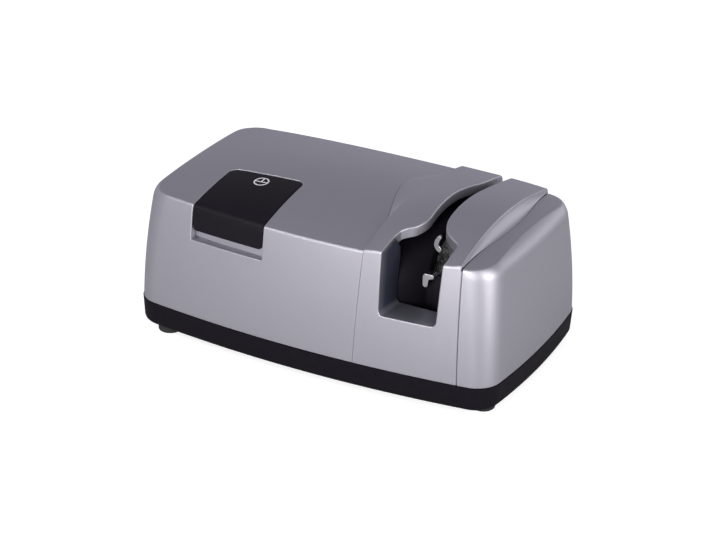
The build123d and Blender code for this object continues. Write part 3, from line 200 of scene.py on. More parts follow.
def guide_top(x, y):
    """The arch, with a flank on each side that comes down to the crown where the seam is.

    The left flank is a straight ramp. The right one falls as 1 - (1 - s)^2, steep at the crest and soft at its foot.
    """
    left, right = LEFT_SEAM[1] + 0 * x, CREST + 0 * x
    step = arch(left, y) - crown(left, y)
    ramp = np.clip(1 + (x - left) / np.maximum(-flare(LEFT_SEAM, y), 0.3), 0.0, 1.0)
    width = RIGHT_SEAM[1] - CREST + flare(RIGHT_SEAM, y)
    s = np.clip((x - right) / width, 0.0, 1.0)
    fallen = (1 - (1 - s) ** 2) * smoothstep(0.0, np.maximum(0.18, 0.6 / width), s)
    arched = arch(np.minimum(x, right), y)
    return np.where(x < left, crown(x, y) + step * ramp, arched + (crown(x, y) - arched) * fallen)


def over(p, height, lowered=0.0):
    """Distance above a height map: the height difference, divided by the length of its slope in space."""
    x, y = p[:, 0], p[:, 1]
    dx = (height(x + NEAR, y) - height(x - NEAR, y)) / (2 * NEAR)
    dy = (height(x, y + NEAR) - height(x, y - NEAR)) / (2 * NEAR)
    return (p[:, 2] - height(x, y) + lowered) / np.sqrt(1 + dx**2 + dy**2)


# %% [markdown]
# Where a wall meets a top, the real moulding has a small radius. Two fields are joined with one: inside the wedge
# between the two surfaces, the distance is taken from the centre of the rounding.

# %% Rounding the edge between two fields
def slope(field, p):
    """The field's slope at each point, from its values a little to either side along each axis."""
    reach = 0.02
    steps = np.eye(3) * reach
    return np.stack([(field(p + s) - field(p - s)) / (2 * reach) for s in steps], axis=1)


def rounded_edge(a, b, cosine, radius):
    """Intersection of two fields whose surfaces meet at a known angle, with an edge of the given radius."""
    u, v = a + radius, b + radius
    inside = (u - cosine * v > 0) & (v - cosine * u > 0)
    reach = (u**2 + v**2 - 2 * cosine * u * v) / (1 - cosine**2)
    return np.where(inside, np.sqrt(np.maximum(reach, 0.0)) - radius, np.maximum(a, b))


def edge_radius(y, ends=EDGE_RADIUS):
    """Radius of the top edge, growing from the front to the back."""
    return ends[0] + (ends[1] - ends[0]) * smoothstep(*RADIUS_GROWS, y)


def body(p, height, inset=0.0, lowered=0.0, rounded=1.0, radius=EDGE_RADIUS):
    """One cover as a field: its wall and its top, with a small radius in front and a larger one at the back."""
    def upright(q):
        return wall(q, STEP + inset, rounded)

    def top(q):
        return over(q, height, lowered)

    cosine = np.sum(slope(upright, p) * slope(top, p), axis=1)
    return rounded_edge(upright(p), top(p), np.clip(cosine, -0.95, 0.95), edge_radius(p[:, 1], radius))


def unit(v):
    """Vectors scaled to length 1."""
    return v / np.maximum(np.linalg.norm(v, axis=-1, keepdims=True), 1e-12)


def settle(field, p, free=(1.0, 1.0, 1.0), rounds=4):
    """Moves points along the field's slope until it is zero; free is 0 on an axis that stays."""
    for _ in range(rounds):
        g = slope(field, p)
        push = g * np.asarray(free)
        p = p - push * (field(p) / np.maximum(np.sum(g * push, axis=1), 1e-6))[:, None]
    return p


# %% [markdown]
# A mesh is gathered from patches. Each patch brings its points, the direction that each point faces, and its faces;
# gathering them turns every face to agree with those directions, merges points that lie on each other and face the
# same way, and drops faces with no area. Blender then shades with the exact directions, so a cover needs no more
# faces than its silhouette does.

# %% Gathering patches into a piece
class Patches:
    def __init__(self):
        self.points, self.normals, self.faces, self.depths, self.count = [], [], [], [], 0

    def add(self, points, normals, faces, depth=0.0):
        """Adds points (n, 3), unit normals (n, 3), triangles (m, 3) and each point's painted shade, 0 to 1."""
        self.points.append(points)
        self.depths.append(np.zeros(len(points)) + depth)
        self.normals.append(normals)
        self.faces.append(np.asarray(faces) + self.count)
        self.count += len(points)

    def strip(self, rings, normals, pairs, depth=0.0):
        """Joins rings (k, n, 3), one after another, between the points named in pairs (m, 2); depth is painted shade.
        """
        rings, normals = np.asarray(rings), np.asarray(normals)
        n, faces = rings.shape[1], []
        for k in range(len(rings) - 1):
            a, b = pairs[:, 0] + k * n, pairs[:, 1] + k * n
            faces.append(split(np.stack([a, b, b + n, a + n], axis=1)))
        self.add(rings.reshape(-1, 3), normals.reshape(-1, 3), np.concatenate(faces), np.reshape(depth, -1))

    def grid(self, points, normals):
        """Adds a grid of points (rows, columns, 3)."""
        rows, columns = points.shape[:2]
        self.add(points.reshape(-1, 3), normals.reshape(-1, 3), split(cells(rows, columns)))

    def arrays(self):
        """All patches as one set of points, normals, faces and painted shades, welded and turned outwards."""
        points = np.concatenate(self.points)
        normals = unit(np.concatenate(self.normals))
        faces = np.concatenate(self.faces)
        places, ways = 2000, 12  # steps to a millimetre, and to a direction's length, within which two points weld
        keys = np.concatenate([np.round(points * places), np.round(normals * ways)], axis=1).astype(np.int64)
        _, first, back = np.unique(keys, axis=0, return_index=True, return_inverse=True)
        faces = back.reshape(-1)[faces]
        points, normals, depths = points[first], normals[first], np.concatenate(self.depths)[first]
        a, b, c = (points[faces[:, i]] for i in range(3))
        across = np.cross(b - a, c - a)
        whole = np.linalg.norm(across, axis=1) > 1e-7
        backwards = np.sum(across * normals[faces].sum(axis=1), axis=1) < 0
        faces = np.where(backwards[:, None], faces[:, ::-1], faces)[whole]
        used, faces = np.unique(faces, return_inverse=True)
        return points[used], normals[used], faces.reshape(-1, 3), depths[used]


def cells(rows, columns):
    """Corner numbers of a grid's cells."""
    first = np.arange(rows - 1)[:, None] * columns + np.arange(columns - 1)[None, :]
    first = first.reshape(-1)
    return np.stack([first, first + 1, first + columns + 1, first + columns], axis=1)


def split(quads):
    """Two triangles for each four-cornered face."""
    return np.concatenate([quads[:, [0, 1, 2]], quads[:, [0, 2, 3]]])


def make_piece(name, patches, slot, body_name, nodes=()):
    """Makes a Blender object from gathered patches, riding on a body and standing for the model's nodes."""
    points, normals, faces, depths = patches.arrays()
    mesh = bpy.data.meshes.new(name)
    mesh.from_pydata((points * MM).tolist(), [], faces.tolist())
    mesh.shade_smooth()
    mesh.normals_split_custom_set_from_vertices(normals.tolist())
    # Painted shade: each point's darkening inside the recess, stored as the depth attribute that the silver reads
    mesh.attributes.new("depth", "FLOAT", "POINT").data.foreach_set("value", depths)
    mesh.materials.append(FINISHES[slot])
    piece = bpy.data.objects.new(name, mesh)
    bpy.context.scene.collection.objects.link(piece)
    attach(piece, body_name)
    if nodes:
        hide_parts(*nodes)
    print(f"{name}: {len(faces)} triangles")


# %% [markdown]
# The button's pocket, the knife slot and the recess are holes in the covers. A hole is a second field over the same
# grid, positive where the skin stays. Cells that the hole's edge crosses are cut along it, by looking up how a cell
# with some corners kept and some dropped is filled, and the new points are then moved exactly onto both the surface
# and the edge. What the cut leaves is a list of edge pieces, from which the rolled rim of the hole grows.

# %% Cutting a grid along a field
FILLS = {  # corners 0 to 3 are kept where their bit is set; 4 to 7 lie on the cell's lower, right, upper, left edge
    1: ([(0, 4, 7)], [(4, 7)]), 2: ([(1, 5, 4)], [(5, 4)]), 4: ([(2, 6, 5)], [(6, 5)]), 8: ([(3, 7, 6)], [(7, 6)]),
    3: ([(0, 1, 5), (0, 5, 7)], [(5, 7)]), 6: ([(1, 2, 6), (1, 6, 4)], [(6, 4)]),
    12: ([(2, 3, 7), (2, 7, 5)], [(7, 5)]), 9: ([(0, 4, 6), (0, 6, 3)], [(4, 6)]),
    5: ([(0, 4, 7), (2, 6, 5)], [(4, 7), (6, 5)]), 10: ([(1, 5, 4), (3, 7, 6)], [(5, 4), (7, 6)]),
    7: ([(0, 1, 2), (0, 2, 6), (0, 6, 7)], [(6, 7)]), 11: ([(0, 1, 5), (0, 5, 6), (0, 6, 3)], [(5, 6)]),
    13: ([(0, 4, 5), (0, 5, 2), (0, 2, 3)], [(4, 5)]), 14: ([(1, 2, 3), (1, 3, 7), (1, 7, 4)], [(7, 4)]),
    15: ([(0, 1, 2), (0, 2, 3)], []),
}


def across(a, b, keep_a, keep_b, points):
    """Points where the kept value crosses zero on the edges from a to b, by the share of the two values."""
    share = np.clip(keep_a / np.where(keep_a == keep_b, 1.0, keep_a - keep_b), 0.0, 1.0)
    return points[a] + (points[b] - points[a]) * share[:, None]


def cut(points, keep):
    """Cuts a grid (rows, columns, 3) where keep (rows, columns) is negative: points, triangles, edge pairs."""
    rows, columns = keep.shape
    value, flat = keep.reshape(-1), points.reshape(-1, 3)
    ids = np.arange(rows * columns).reshape(rows, columns)
    level = (ids[:, :-1].reshape(-1), ids[:, 1:].reshape(-1))
    rising = (ids[:-1].reshape(-1), ids[1:].reshape(-1))
    on_level = across(*level, value[level[0]], value[level[1]], flat)
    on_rising = across(*rising, value[rising[0]], value[rising[1]], flat)
    corners = cells(rows, columns)
    r, c = np.divmod(np.arange((rows - 1) * (columns - 1)), columns - 1)
    first_level = rows * columns
    first_rising = first_level + len(on_level)
    edges = np.stack([
        first_level + r * (columns - 1) + c, first_rising + r * columns + c + 1,
        first_level + (r + 1) * (columns - 1) + c, first_rising + r * columns + c,
    ], axis=1)
    local = np.concatenate([corners, edges], axis=1)
    case = np.sum((value[corners] > 0) << np.arange(4), axis=1)
    faces, pairs = [], []
    for number, (fill, borders) in FILLS.items():
        found = local[case == number]
        faces += [found[:, list(t)] for t in fill]
        pairs += [found[:, list(b)] for b in borders]
    everything = np.concatenate([flat, on_level, on_rising])
    faces, pairs = np.concatenate(faces), np.concatenate(pairs)
    used = np.unique(faces)
    place = np.zeros(len(everything), int)
    place[used] = np.arange(len(used))
    return everything[used], place[faces], place[pairs]


def onto_edge(surface, hole, p, level):
    """Moves points onto a surface and onto a level of a hole's field, in turn, staying in the surface's plane."""
    for _ in range(6):
        p = settle(surface, p, rounds=1)
        n = unit(slope(surface, p))
        g = slope(hole, p)
        g = g - n * np.sum(g * n, axis=1)[:, None]
        far = (hole(p) - level) / np.maximum(np.sum(g * g, axis=1), 0.05)
        p = p - g * far[:, None]
    return settle(surface, p, rounds=2)


def roll(points, normals, away, radius, turns=5):
    """Rings of a rolled rim: a quarter circle from the skin into the hole, away being the side the skin is on."""
    angles = np.linspace(0.0, math.pi / 2, turns + 1)[:, None, None]
    rings = points - away * radius * np.sin(angles) - normals * radius * (1 - np.cos(angles))
    return rings, normals * np.cos(angles) - away * np.sin(angles)


# %% [markdown]
# Materials are written as sums, so that a finish reads like a recipe. One small class wraps a socket: adding or
# multiplying two of them adds the Math node that does it. A second one makes any other node from its type, its
# settings and its inputs.

# %% Writing shader maths as expressions
class Value:
    """A socket in a material, with arithmetic that adds Math nodes."""

    def __init__(self, paint, socket):
        self.paint, self.socket = paint, socket

    def maths(self, operation, *others):
        return self.paint.node("ShaderNodeMath", {"operation": operation}, [self, *others])

    def __add__(self, other):
        return self.maths("ADD", other)

    def __radd__(self, other):
        return self + other

    def __sub__(self, other):
        return self.maths("SUBTRACT", other)

    def __rsub__(self, other):
        return self.paint.node("ShaderNodeMath", {"operation": "SUBTRACT"}, [other, self])

    def __mul__(self, other):
        return self.maths("MULTIPLY", other)

    def __rmul__(self, other):
        return self * other

    def between(self, low, high):
        """0 at low, 1 at high, smooth in between."""
        settings = {"interpolation_type": "SMOOTHSTEP"}
        return self.paint.node("ShaderNodeMapRange", settings, {"Value": self, "From Min": low, "From Max": high})


class Paint:
    """One material: its nodes, and the shader that they end in."""

    def __init__(self, name, **constants):
        self.material = bpy.data.materials.new(name)
        self.material.use_nodes = True
        self.tree = self.material.node_tree
        self.shader = self.tree.nodes["Principled BSDF"]
        for socket, value in constants.items():
            self.shader.inputs[socket.replace("_", " ")].default_value = value
        self.place = self.node("ShaderNodeTexCoord", output="Object")

    def give(self, socket, value):
        """Links a value to a socket, or sets it."""
        if isinstance(value, Value):
            self.tree.links.new(value.socket, socket)
        else:
            socket.default_value = value

    def node(self, kind, settings=None, inputs=None, output=0):
        """Any node, from its type, its settings, its inputs by name or number, and the output to use."""
        made = self.tree.nodes.new(kind)
        for key, value in (settings or {}).items():
            setattr(made, key, value)
        pairs = inputs.items() if isinstance(inputs, dict) else enumerate(inputs or [])
        for key, value in pairs:
            self.give(made.inputs[key], value)
        return Value(self, made.outputs[output])

    def noise(self, scale, detail=3.0, rough=0.5, stretch=(1.0, 1.0, 1.0)):
        """Soft noise from 0 to 1, with a size in cells per metre, stretched along each axis."""
        place = self.node("ShaderNodeMapping", inputs={"Vector": self.place, "Scale": stretch})
        return self.node("ShaderNodeTexNoise", inputs={
            "Vector": place, "Scale": scale, "Detail": detail, "Roughness": rough,
        })

    def mix(self, share, a, b):
        """Colour between a and b; the Mix node has sockets for every kind of data, and colour has 6, 7 and 2."""
        return self.node("ShaderNodeMix", {"data_type": "RGBA"}, {0: share, 6: a, 7: b}, output=2)

    def bump(self, height, depth, strength=1.0):
        """Fine relief of the given depth in metres."""
        self.set("Normal", self.node("ShaderNodeBump", inputs={
            "Height": height, "Distance": depth, "Strength": strength,
        }))

    def set(self, socket, value):
        self.give(self.shader.inputs[socket], value)
        return self


def grey(level, warm=0.0):
    """A grey with a little warmth, or with coolness where warm is negative."""
    return (level * (1 + warm), level, level * (1 - warm), 1.0)


def plain_finish(name, dark, light, roughness, metallic=0.0, scale=900.0, relief=0.00002,
                 stretch=(1, 1, 1), sharp=0.5, **more):
    """A finish whose colour and gloss drift between two colours with a noise of its own scale, over fine relief.

    The mottling is soft where sharp is 0.5, and the smaller it is, the harder it gets.
    """
    paint = Paint(name, Metallic=metallic, **more)
    drift = paint.noise(scale * 0.12, detail=4.0, stretch=stretch)
    grain = paint.noise(scale, detail=2.0, stretch=stretch)
    share = (drift * 0.6 + grain * 0.4).between(0.5 - sharp, 0.5 + sharp)
    paint.set("Base Color", paint.mix(share, dark, light))
    paint.set("Roughness", roughness - 0.06 + drift * 0.12)
    paint.bump(grain, relief, 0.6)
    return paint.material


# %% [markdown]
# The silver is a paint with fine metal flakes on moulded plastic: grey, a little cool, with a broad soft highlight.
# It is mostly metal, so that it takes its tone from what it faces, and the flakes show as a fine grain in gloss and
# relief rather than in colour. Inside the recess the silver is darkened towards a dark blue grey as painted shade,
# standing in for the shade that falls there; the meshes carry how much of it each point gets.

# %% Silver paint
SILVER_DARK, SILVER_LIGHT = (0.43, 0.42, 0.46, 1.0), (0.52, 0.51, 0.55, 1.0)
# Painted shade: the dark blue grey that the silver is darkened towards inside the recess
RECESS_PAINTED_SHADE = (0.12, 0.135, 0.19, 1.0)


def silver_finish():
    paint = Paint("silver_paint", Metallic=0.9, IOR=1.45)
    flakes = paint.noise(5200.0, detail=2.0, rough=0.7)
    cloud = paint.noise(60.0, detail=3.0)
    silver = paint.mix(flakes.between(0.3, 0.75), SILVER_DARK, SILVER_LIGHT)
    # Painted shade: the mesh's depth attribute mixes the silver towards the recess's painted shade colour
    depth = paint.node("ShaderNodeAttribute", {"attribute_name": "depth"}, output="Fac")
    paint.set("Base Color", paint.mix(depth, silver, RECESS_PAINTED_SHADE))
    paint.set("Roughness", 0.4 + flakes * 0.08 + cloud * 0.04)
    paint.bump(flakes, 0.00002, 0.35)
    return paint.material


SILVER = silver_finish()

# %% [markdown]
# The other finishes differ in two colours, a gloss and the scale of their grain: moulded plastics are fine and
# satin, rubber is duller, rolled and turned metals are drawn out along one axis.

# %% Plastics, rubber and metals
BLACK, BLACK_WORN = (0.006, 0.005, 0.008, 1.0), (0.01, 0.008, 0.012, 1.0)
RECIPES = {  # two colours and a roughness each, then what differs from a plain plastic
    "black_plastic": (BLACK, BLACK_WORN, 0.52, dict(scale=2600.0, Specular_IOR_Level=0.07)),
    "black_button": (BLACK, BLACK_WORN, 0.42, dict(scale=3400.0, Specular_IOR_Level=0.13)),
    "black_rubber": (grey(0.012), grey(0.022), 0.7, dict(scale=1500.0, relief=0.00005)),
    "zinc_steel": (grey(0.5, -0.03), grey(0.62, -0.02), 0.32, dict(metallic=1.0, scale=1200.0)),
    "spring_steel": (grey(0.5), grey(0.6), 0.24, dict(metallic=1.0, scale=1600.0, stretch=(1, 1, 0.1))),
    "bright_steel": (grey(0.6), grey(0.7), 0.22, dict(metallic=1.0, scale=1600.0, stretch=(0.1, 1, 1))),
    "black_switch": (grey(0.02), grey(0.035), 0.3, {}),
    "red_plastic": ((0.42, 0.02, 0.015, 1), (0.52, 0.035, 0.02, 1), 0.35, {}),
    "laminated_steel": (grey(0.16), grey(0.3), 0.45, dict(metallic=0.9, scale=2200.0, stretch=(3, 0.02, 0.02))),
    "copper": (
        (0.5, 0.19, 0.08, 1), (0.7, 0.32, 0.15, 1), 0.3, dict(metallic=0.9, scale=2500.0, stretch=(0.1, 0.1, 3)),
    ),
    "cream_plastic": ((0.68, 0.63, 0.5, 1), (0.76, 0.72, 0.6, 1), 0.45, {}),
    "cast_aluminium": (grey(0.45), grey(0.6), 0.5, dict(metallic=0.95, scale=1400.0, relief=0.00008)),
    "bronze": ((0.45, 0.29, 0.12, 1), (0.6, 0.42, 0.2, 1), 0.38, dict(metallic=0.95, scale=3000.0, relief=0.00004)),
    "white_plastic": (grey(0.72, 0.02), grey(0.8, 0.01), 0.45, {}),
    "grit": (grey(0.03), grey(0.45), 0.6, dict(metallic=0.1, scale=1100.0, relief=0.0003, sharp=0.1)),
    "yellow_plastic": ((0.68, 0.44, 0.03, 1), (0.76, 0.55, 0.06, 1), 0.35, {}),
    "brown_lead": ((0.14, 0.05, 0.02, 1), (0.2, 0.08, 0.035, 1), 0.4, {}),
    "blue_lead": ((0.02, 0.07, 0.32, 1), (0.03, 0.11, 0.42, 1), 0.4, {}),
}
FINISHES = {"silver_cover": SILVER}
for name, (dark, light, roughness, more) in RECIPES.items():
    FINISHES[name] = plain_finish(name, dark, light, roughness, **more)
for part in frame["record"]["subparts"]:
    node = frame["nodes"][part["node"]]
    node.data.materials.clear()
    node.data.materials.append(FINISHES[part["material_slot"]])
print(len(FINISHES), "finishes on", len(frame["nodes"]), "nodes")

# %% [markdown]
# The motor cover wraps round the left end. Its grid has a column for each place along its foot, from the seam in
# front, round the two corners, to the seam at the back, and a row for each step up the wall, round the top edge and
# on towards a line along the middle of the top. The rows start roughly right and are settled onto the field. The end
# cover is the same form, wrapped round the right end.

# %% Grid of a cover that wraps round one end
COVER_FOOT = SPLIT + GAP
ROLL = 0.17  # radius of a cover's border at a seam
WRAP_CORNER = 17.7  # radius of the path that the columns are spread along
LEFT_POLE, RIGHT_POLE = -58.0, 92.0  # x where the line that the top's rows run to ends
LEFT_WIDTH, RIGHT_WIDTH = 30.0, 18.0  # how far from the seam the rows still follow its flare


def reach_at(z, rounded):
    """Half length and half depth of the covers at each height."""
    inset = lean(z) + STEP
    return HALF[0] - inset - rounded * end_rounding(z), HALF[1] - inset


def front_y(x, z):
    """About where the front wall is: the half depth, less the bow as a parabola."""
    return -reach_at(z, 1.0)[1] + BOW_SIDE * (x / 100.0) ** 2


def foot_path(start, side, counts):
    """Points round the cover at the top edge's height, from the x of its border round the end and back to it."""
    a, b = reach_at(EDGE, 1.0)
    r = WRAP_CORNER
    front, bend, end = counts
    straight = np.linspace(start, side * (a - r), front)
    past = math.asin(min(max((side * start - a + r) / r, 0.0), 1.0))
    turn = np.linspace(past, math.pi / 2, bend + 2)[1 if front else 0:-1]
    upright = np.linspace(-(b - r), b - r, end)
    x = np.concatenate([
        straight, side * (a - r + r * np.sin(turn)), np.full(end, side * a),
        side * (a - r + r * np.sin(turn[::-1])), straight[::-1],
    ])
    y = np.concatenate([
        np.full(front, -b), -(b - r) - r * np.cos(turn), upright, b - r + r * np.cos(turn[::-1]), np.full(front, b),
    ])
    return x, y


def wrapped_cover(seam, side, counts, rows, pole, width):
    """Grid of points over a cover: wall, top edge and top, settled onto its field.

    A column keeps its share of the way from the seam to the end while it climbs; x is held on the long walls, both
    x and y are free on the ends, and on the top only z is. The top's rows run to a line along the middle, which ends
    at the pole, and follow the seam's flare within the given width.
    """
    border = side * (SEAM_GAP[seam] / 2 + ROLL)
    x0, y0 = foot_path(seam[1] + border, side, counts)
    a0, b0 = reach_at(EDGE, 1.0)
    fixed = max(0.72, side * x0[0] / a0)  # x is held up to this share of the half length
    near_end = smoothstep(fixed, 0.18 + 0.9 * fixed, side * x0 / a0)

    def at(z):
        a, b = reach_at(z, 1.0)
        start = seam_x(seam, z) + border
        share = (x0 - x0[0]) / (side * a0 - x0[0])
        p = np.stack([start + share * (side * a - start), y0 * b / b0, z], axis=1)
        free = np.stack([near_end, 1 + 0 * near_end, 0 * near_end], axis=1)
        return settle(lambda q: outline(q, STEP), p, free=free)

    top_z = np.full(len(x0), EDGE)
    for _ in range(4):
        edge = at(top_z)
        top_z = crown(edge[:, 0], edge[:, 1])
    wall_rows, edge_rows, top_rows = rows
    even = np.linspace(0.0, 1.0, wall_rows)
    closing = even + 0.5 * np.sin(math.pi * even) / math.pi  # rows get closer towards the top
    clear = 1.3 * edge_radius(y0)  # rows of the walls and of the top stay this far from the edge
    wall_top = top_z - clear
    walls = [at(COVER_FOOT + (wall_top - COVER_FOOT) * s) for s in closing]

    spine_x = np.where(side * x0 < side * pole, x0, pole)
    inward = np.stack([spine_x - edge[:, 0], -edge[:, 1]], axis=1)
    start = clear / np.linalg.norm(inward, axis=1)

    def on_top(share):
        """Points on the top, the given share of the way from the edge to the middle line."""
        x, y = edge[:, 0] + inward[:, 0] * share, edge[:, 1] + inward[:, 1] * share
        z = crown(x, y)
        drift = (seam_x(seam, z, y) + border - x0[0]) * np.clip(1 - np.abs(x - x0[0]) / width, 0, 1)
        return np.stack([x + drift * smoothstep(0.0, start, share), y, z], axis=1)

    first = on_top(start)
    shares = np.linspace(0.0, 1.0, edge_rows + 2)[1:-1]
    edges = [walls[-1] + (first - walls[-1]) * s for s in shares]
    tops = [on_top(start + (1 - start) * s) for s in np.linspace(0.0, 1.0, top_rows)]
    grid = np.stack(walls + edges + tops)
    free = np.ones(grid.shape)
    free[:, [0, -1], 0] = 0
    free[wall_rows + edge_rows:, :, :2] = 0
    free[:wall_rows, :, 2] = 0
    free[:wall_rows, :, 0] = near_end

    def field(q):
        return body(q, crown)

    flat = settle(field, grid.reshape(-1, 3), free=free.reshape(-1, 3))
    print(f"cover grid {grid.shape[:2]}, worst miss {np.abs(field(flat)).max():.4f} mm")
    return flat.reshape(grid.shape), field


def directions(field, points):
    """Outward directions of a field's surface at a grid or list of points."""
    return unit(slope(field, points.reshape(-1, 3))).reshape(points.shape)


def inner_point(p, height, wall_depth, top_depth, rounded=1.0):
    """The point that deep under a skin: at most so near the walls, and at most so near the top."""
    gap = -wall(p, STEP, rounded)
    y = np.sign(p[:, 1]) * (np.abs(p[:, 1]) - np.maximum(wall_depth - gap, 0.0))
    return np.stack([p[:, 0], y, np.minimum(p[:, 2], height(p[:, 0], p[:, 1]) - top_depth)], axis=1)


def along(n):
    """Pairs of neighbours along a line of n points."""
    return np.stack([np.arange(n - 1), np.arange(1, n)], axis=1)


def seam_edge(patches, field, line, out, radius, inner):
    """Rolls the skin's border over at a seam and takes it inwards to the given points."""
    normals = directions(field, line)
    out = unit(out - normals * np.sum(out * normals, axis=1)[:, None])
    radius = np.broadcast_to(np.asarray(radius, float), (len(line),))[:, None]
    rings, turned = roll(line, normals, -out, radius, turns=4)
    patches.strip(rings, turned, along(len(line)))
    patches.strip([rings[-1], inner(rings[-1])], [unit(out)] * 2, along(len(line)))


def foot_edge(patches, line, normals):
    """Takes the skin's lower border inwards, level, over the base."""
    flat = unit(normals * np.array([1.0, 1.0, 0.0]))
    rings = np.stack([line, line - flat * SKIN])
    patches.strip(rings, np.broadcast_to([0.0, 0.0, -1.0], rings.shape), along(len(line)))


def close_cover(patches, field, grid, way):
    """Rolls both borders of a wrapped cover, way being the side of x that they face, and closes its foot."""
    for line in (grid[:, 0], grid[:, -1]):
        out = np.broadcast_to([way, 0.0, 0.0], line.shape)
        seam_edge(patches, field, line, out, ROLL, lambda p: inner_point(p, crown, SKIN, SKIN))
    foot_edge(patches, grid[0], directions(field, grid[0]))


# %% [markdown]
# The start button sits in a pocket of the motor cover that is open to the front: a rectangle with round corners at
# the back, seen from above, and a straight lower edge on the front wall. The pad fills it but for a narrow gap, and
# ends a little above the pocket's ledge.

# %% The pocket and the pad as fields
PAD_X, PAD_BACK, PAD_CORNER = (-70.5, -25.3), -14.5, 5.0
POCKET_LOW, PAD_LOW, PAD_GAP = 62.1, 67.5, 0.35
POCKET_DEPTH, POCKET_RIM = (4.6, 7.8), 0.55  # depth behind the front wall and under the top, radius of the rim


def box_corner(u, v, radius):
    """Distance to a corner of two straight edges with a radius: hypot outside the corner's square."""
    u, v = u + radius, v + radius
    return np.hypot(np.maximum(u, 0), np.maximum(v, 0)) + np.minimum(np.maximum(u, v), 0) - radius


def pocket(p, margin=0.0, low=POCKET_LOW, low_corner=0.5):
    """Negative inside the pocket's outline grown by a margin."""
    middle, half = (PAD_X[0] + PAD_X[1]) / 2, (PAD_X[1] - PAD_X[0]) / 2 + margin
    plan = box_corner(np.abs(p[:, 0] - middle) - half, p[:, 1] - PAD_BACK - margin, PAD_CORNER + margin)
    return box_corner(plan, low - p[:, 2], low_corner)


def front_grid(x_range, y_back, low, columns, rows, depth):
    """Rough grid over the front wall and the top between two x, from a height up and over to a y at the back."""
    x = np.linspace(*x_range, columns)
    b = reach_at(EDGE, 1.0)[1]
    wall_rows, edge_rows, top_rows = rows
    clear = 2.4  # rows of the wall and of the top stay this far from the edge
    top_z = crown(x, 0 * x - b + depth) - depth
    front = front_y(x, top_z) + depth
    lines = []
    for s in np.linspace(0.0, 1.0, wall_rows):
        z = low + (top_z - clear - low) * s
        lines.append(np.stack([x, front_y(x, z) + depth, z], axis=1))
    first = np.stack([x, front + clear, crown(x, front + clear) - depth], axis=1)
    for s in np.linspace(0.0, 1.0, edge_rows + 2)[1:-1]:
        lines.append(lines[wall_rows - 1] + (first - lines[wall_rows - 1]) * s)
    for s in np.linspace(0.0, 1.0, top_rows):
        y = front + clear + (y_back - front - clear) * s
        lines.append(np.stack([x, y, crown(x, y) - depth], axis=1))
    free = np.ones((len(lines), columns, 3))
    free[:, :, 0] = 0
    free[:wall_rows, :, 2] = 0
    free[wall_rows + edge_rows:, :, 1] = 0
    return np.stack(lines), free


def hole_rim(patches, surface, hole, points, pairs, radius, inner, solid_side=1.0, painted_shade=None):
    """Rolled rim along a cut edge, then a side wall to the inner points.

    solid_side is 1 where the skin is outside the hole's outline and -1 where it is inside. The last argument gives,
    from the rim's points, how much painted shade darkens the side wall behind each.
    """
    ends = np.unique(pairs)
    place = np.zeros(pairs.max() + 1, int)
    place[ends] = np.arange(len(ends))
    line = points[ends]
    normals = directions(surface, line)
    g = slope(hole, line)
    away = unit(g - normals * np.sum(g * normals, axis=1)[:, None]) * solid_side
    size = radius(line)[:, None] if callable(radius) else radius
    rings, turned = roll(line, normals, away, size)
    patches.strip(rings, turned, place[pairs])
    facing = unit(slope(hole, rings[-1])) * -solid_side
    # Painted shade: the side wall is darkened by these shares of each rim point's shade, light at the rim, full
    # inside
    shades = [0.3, 1.0, 1.0, 1.0]  # the wall's rings, from the rim inwards
    steps = np.linspace(0.0, 1.0, len(shades))[:, None, None]
    walls = rings[-1] + (inner(rings[-1]) - rings[-1]) * steps
    dark = np.zeros(len(line)) if painted_shade is None else painted_shade(line)
    patches.strip(walls, np.broadcast_to(facing, walls.shape), place[pairs], np.outer(shades, dark))


# %% [markdown]
# Now the motor cover is put together: its skin with the pocket cut out, the pocket's rolled rim, walls and floor,
# the rolled seam towards the guide cover, and the foot over the base.

# %% Motor cover
GLAND_X, GLAND_Z, GLAND_SEAT = -80.0, 29.5, 59.6  # the seat is a y
GLAND_HOLE, GLAND_RIM = (7.1, 5.3), 0.4  # radii of the holes in the cover and in its seat, and of the rim
FAR = 50.0  # distance given in front, where there is no such hole


def gland_hole(p):
    """Negative in the round hole at the back that the cord's gland sits in."""
    across_wall = np.hypot(p[:, 0] - GLAND_X, p[:, 2] - GLAND_Z) - GLAND_HOLE[0]
    return np.where(p[:, 1] > 0, across_wall, FAR)


def gland_seat(patches):
    """The flat ring under the gland's flange."""
    turn = np.linspace(0.0, 2 * math.pi, 49)
    circle = np.stack([np.cos(turn), 0 * turn, np.sin(turn)], axis=1)
    middle = np.array([GLAND_X, GLAND_SEAT, GLAND_Z])
    rings = np.stack([middle + circle * r for r in GLAND_HOLE])
    patches.strip(rings, np.broadcast_to([0.0, 1.0, 0.0], rings.shape), along(len(turn)))


def add_cut_skin(patches, field, grid, hole):
    """Cuts a grid along a hole's field, settles the new edge and adds what stays."""
    keep = hole(grid.reshape(-1, 3)).reshape(grid.shape[:2])
    points, faces, pairs = cut(grid, keep)
    ends = np.unique(pairs)
    points[ends] = onto_edge(field, hole, points[ends], 0.0)
    patches.add(points, directions(field, points), faces)
    return points, pairs


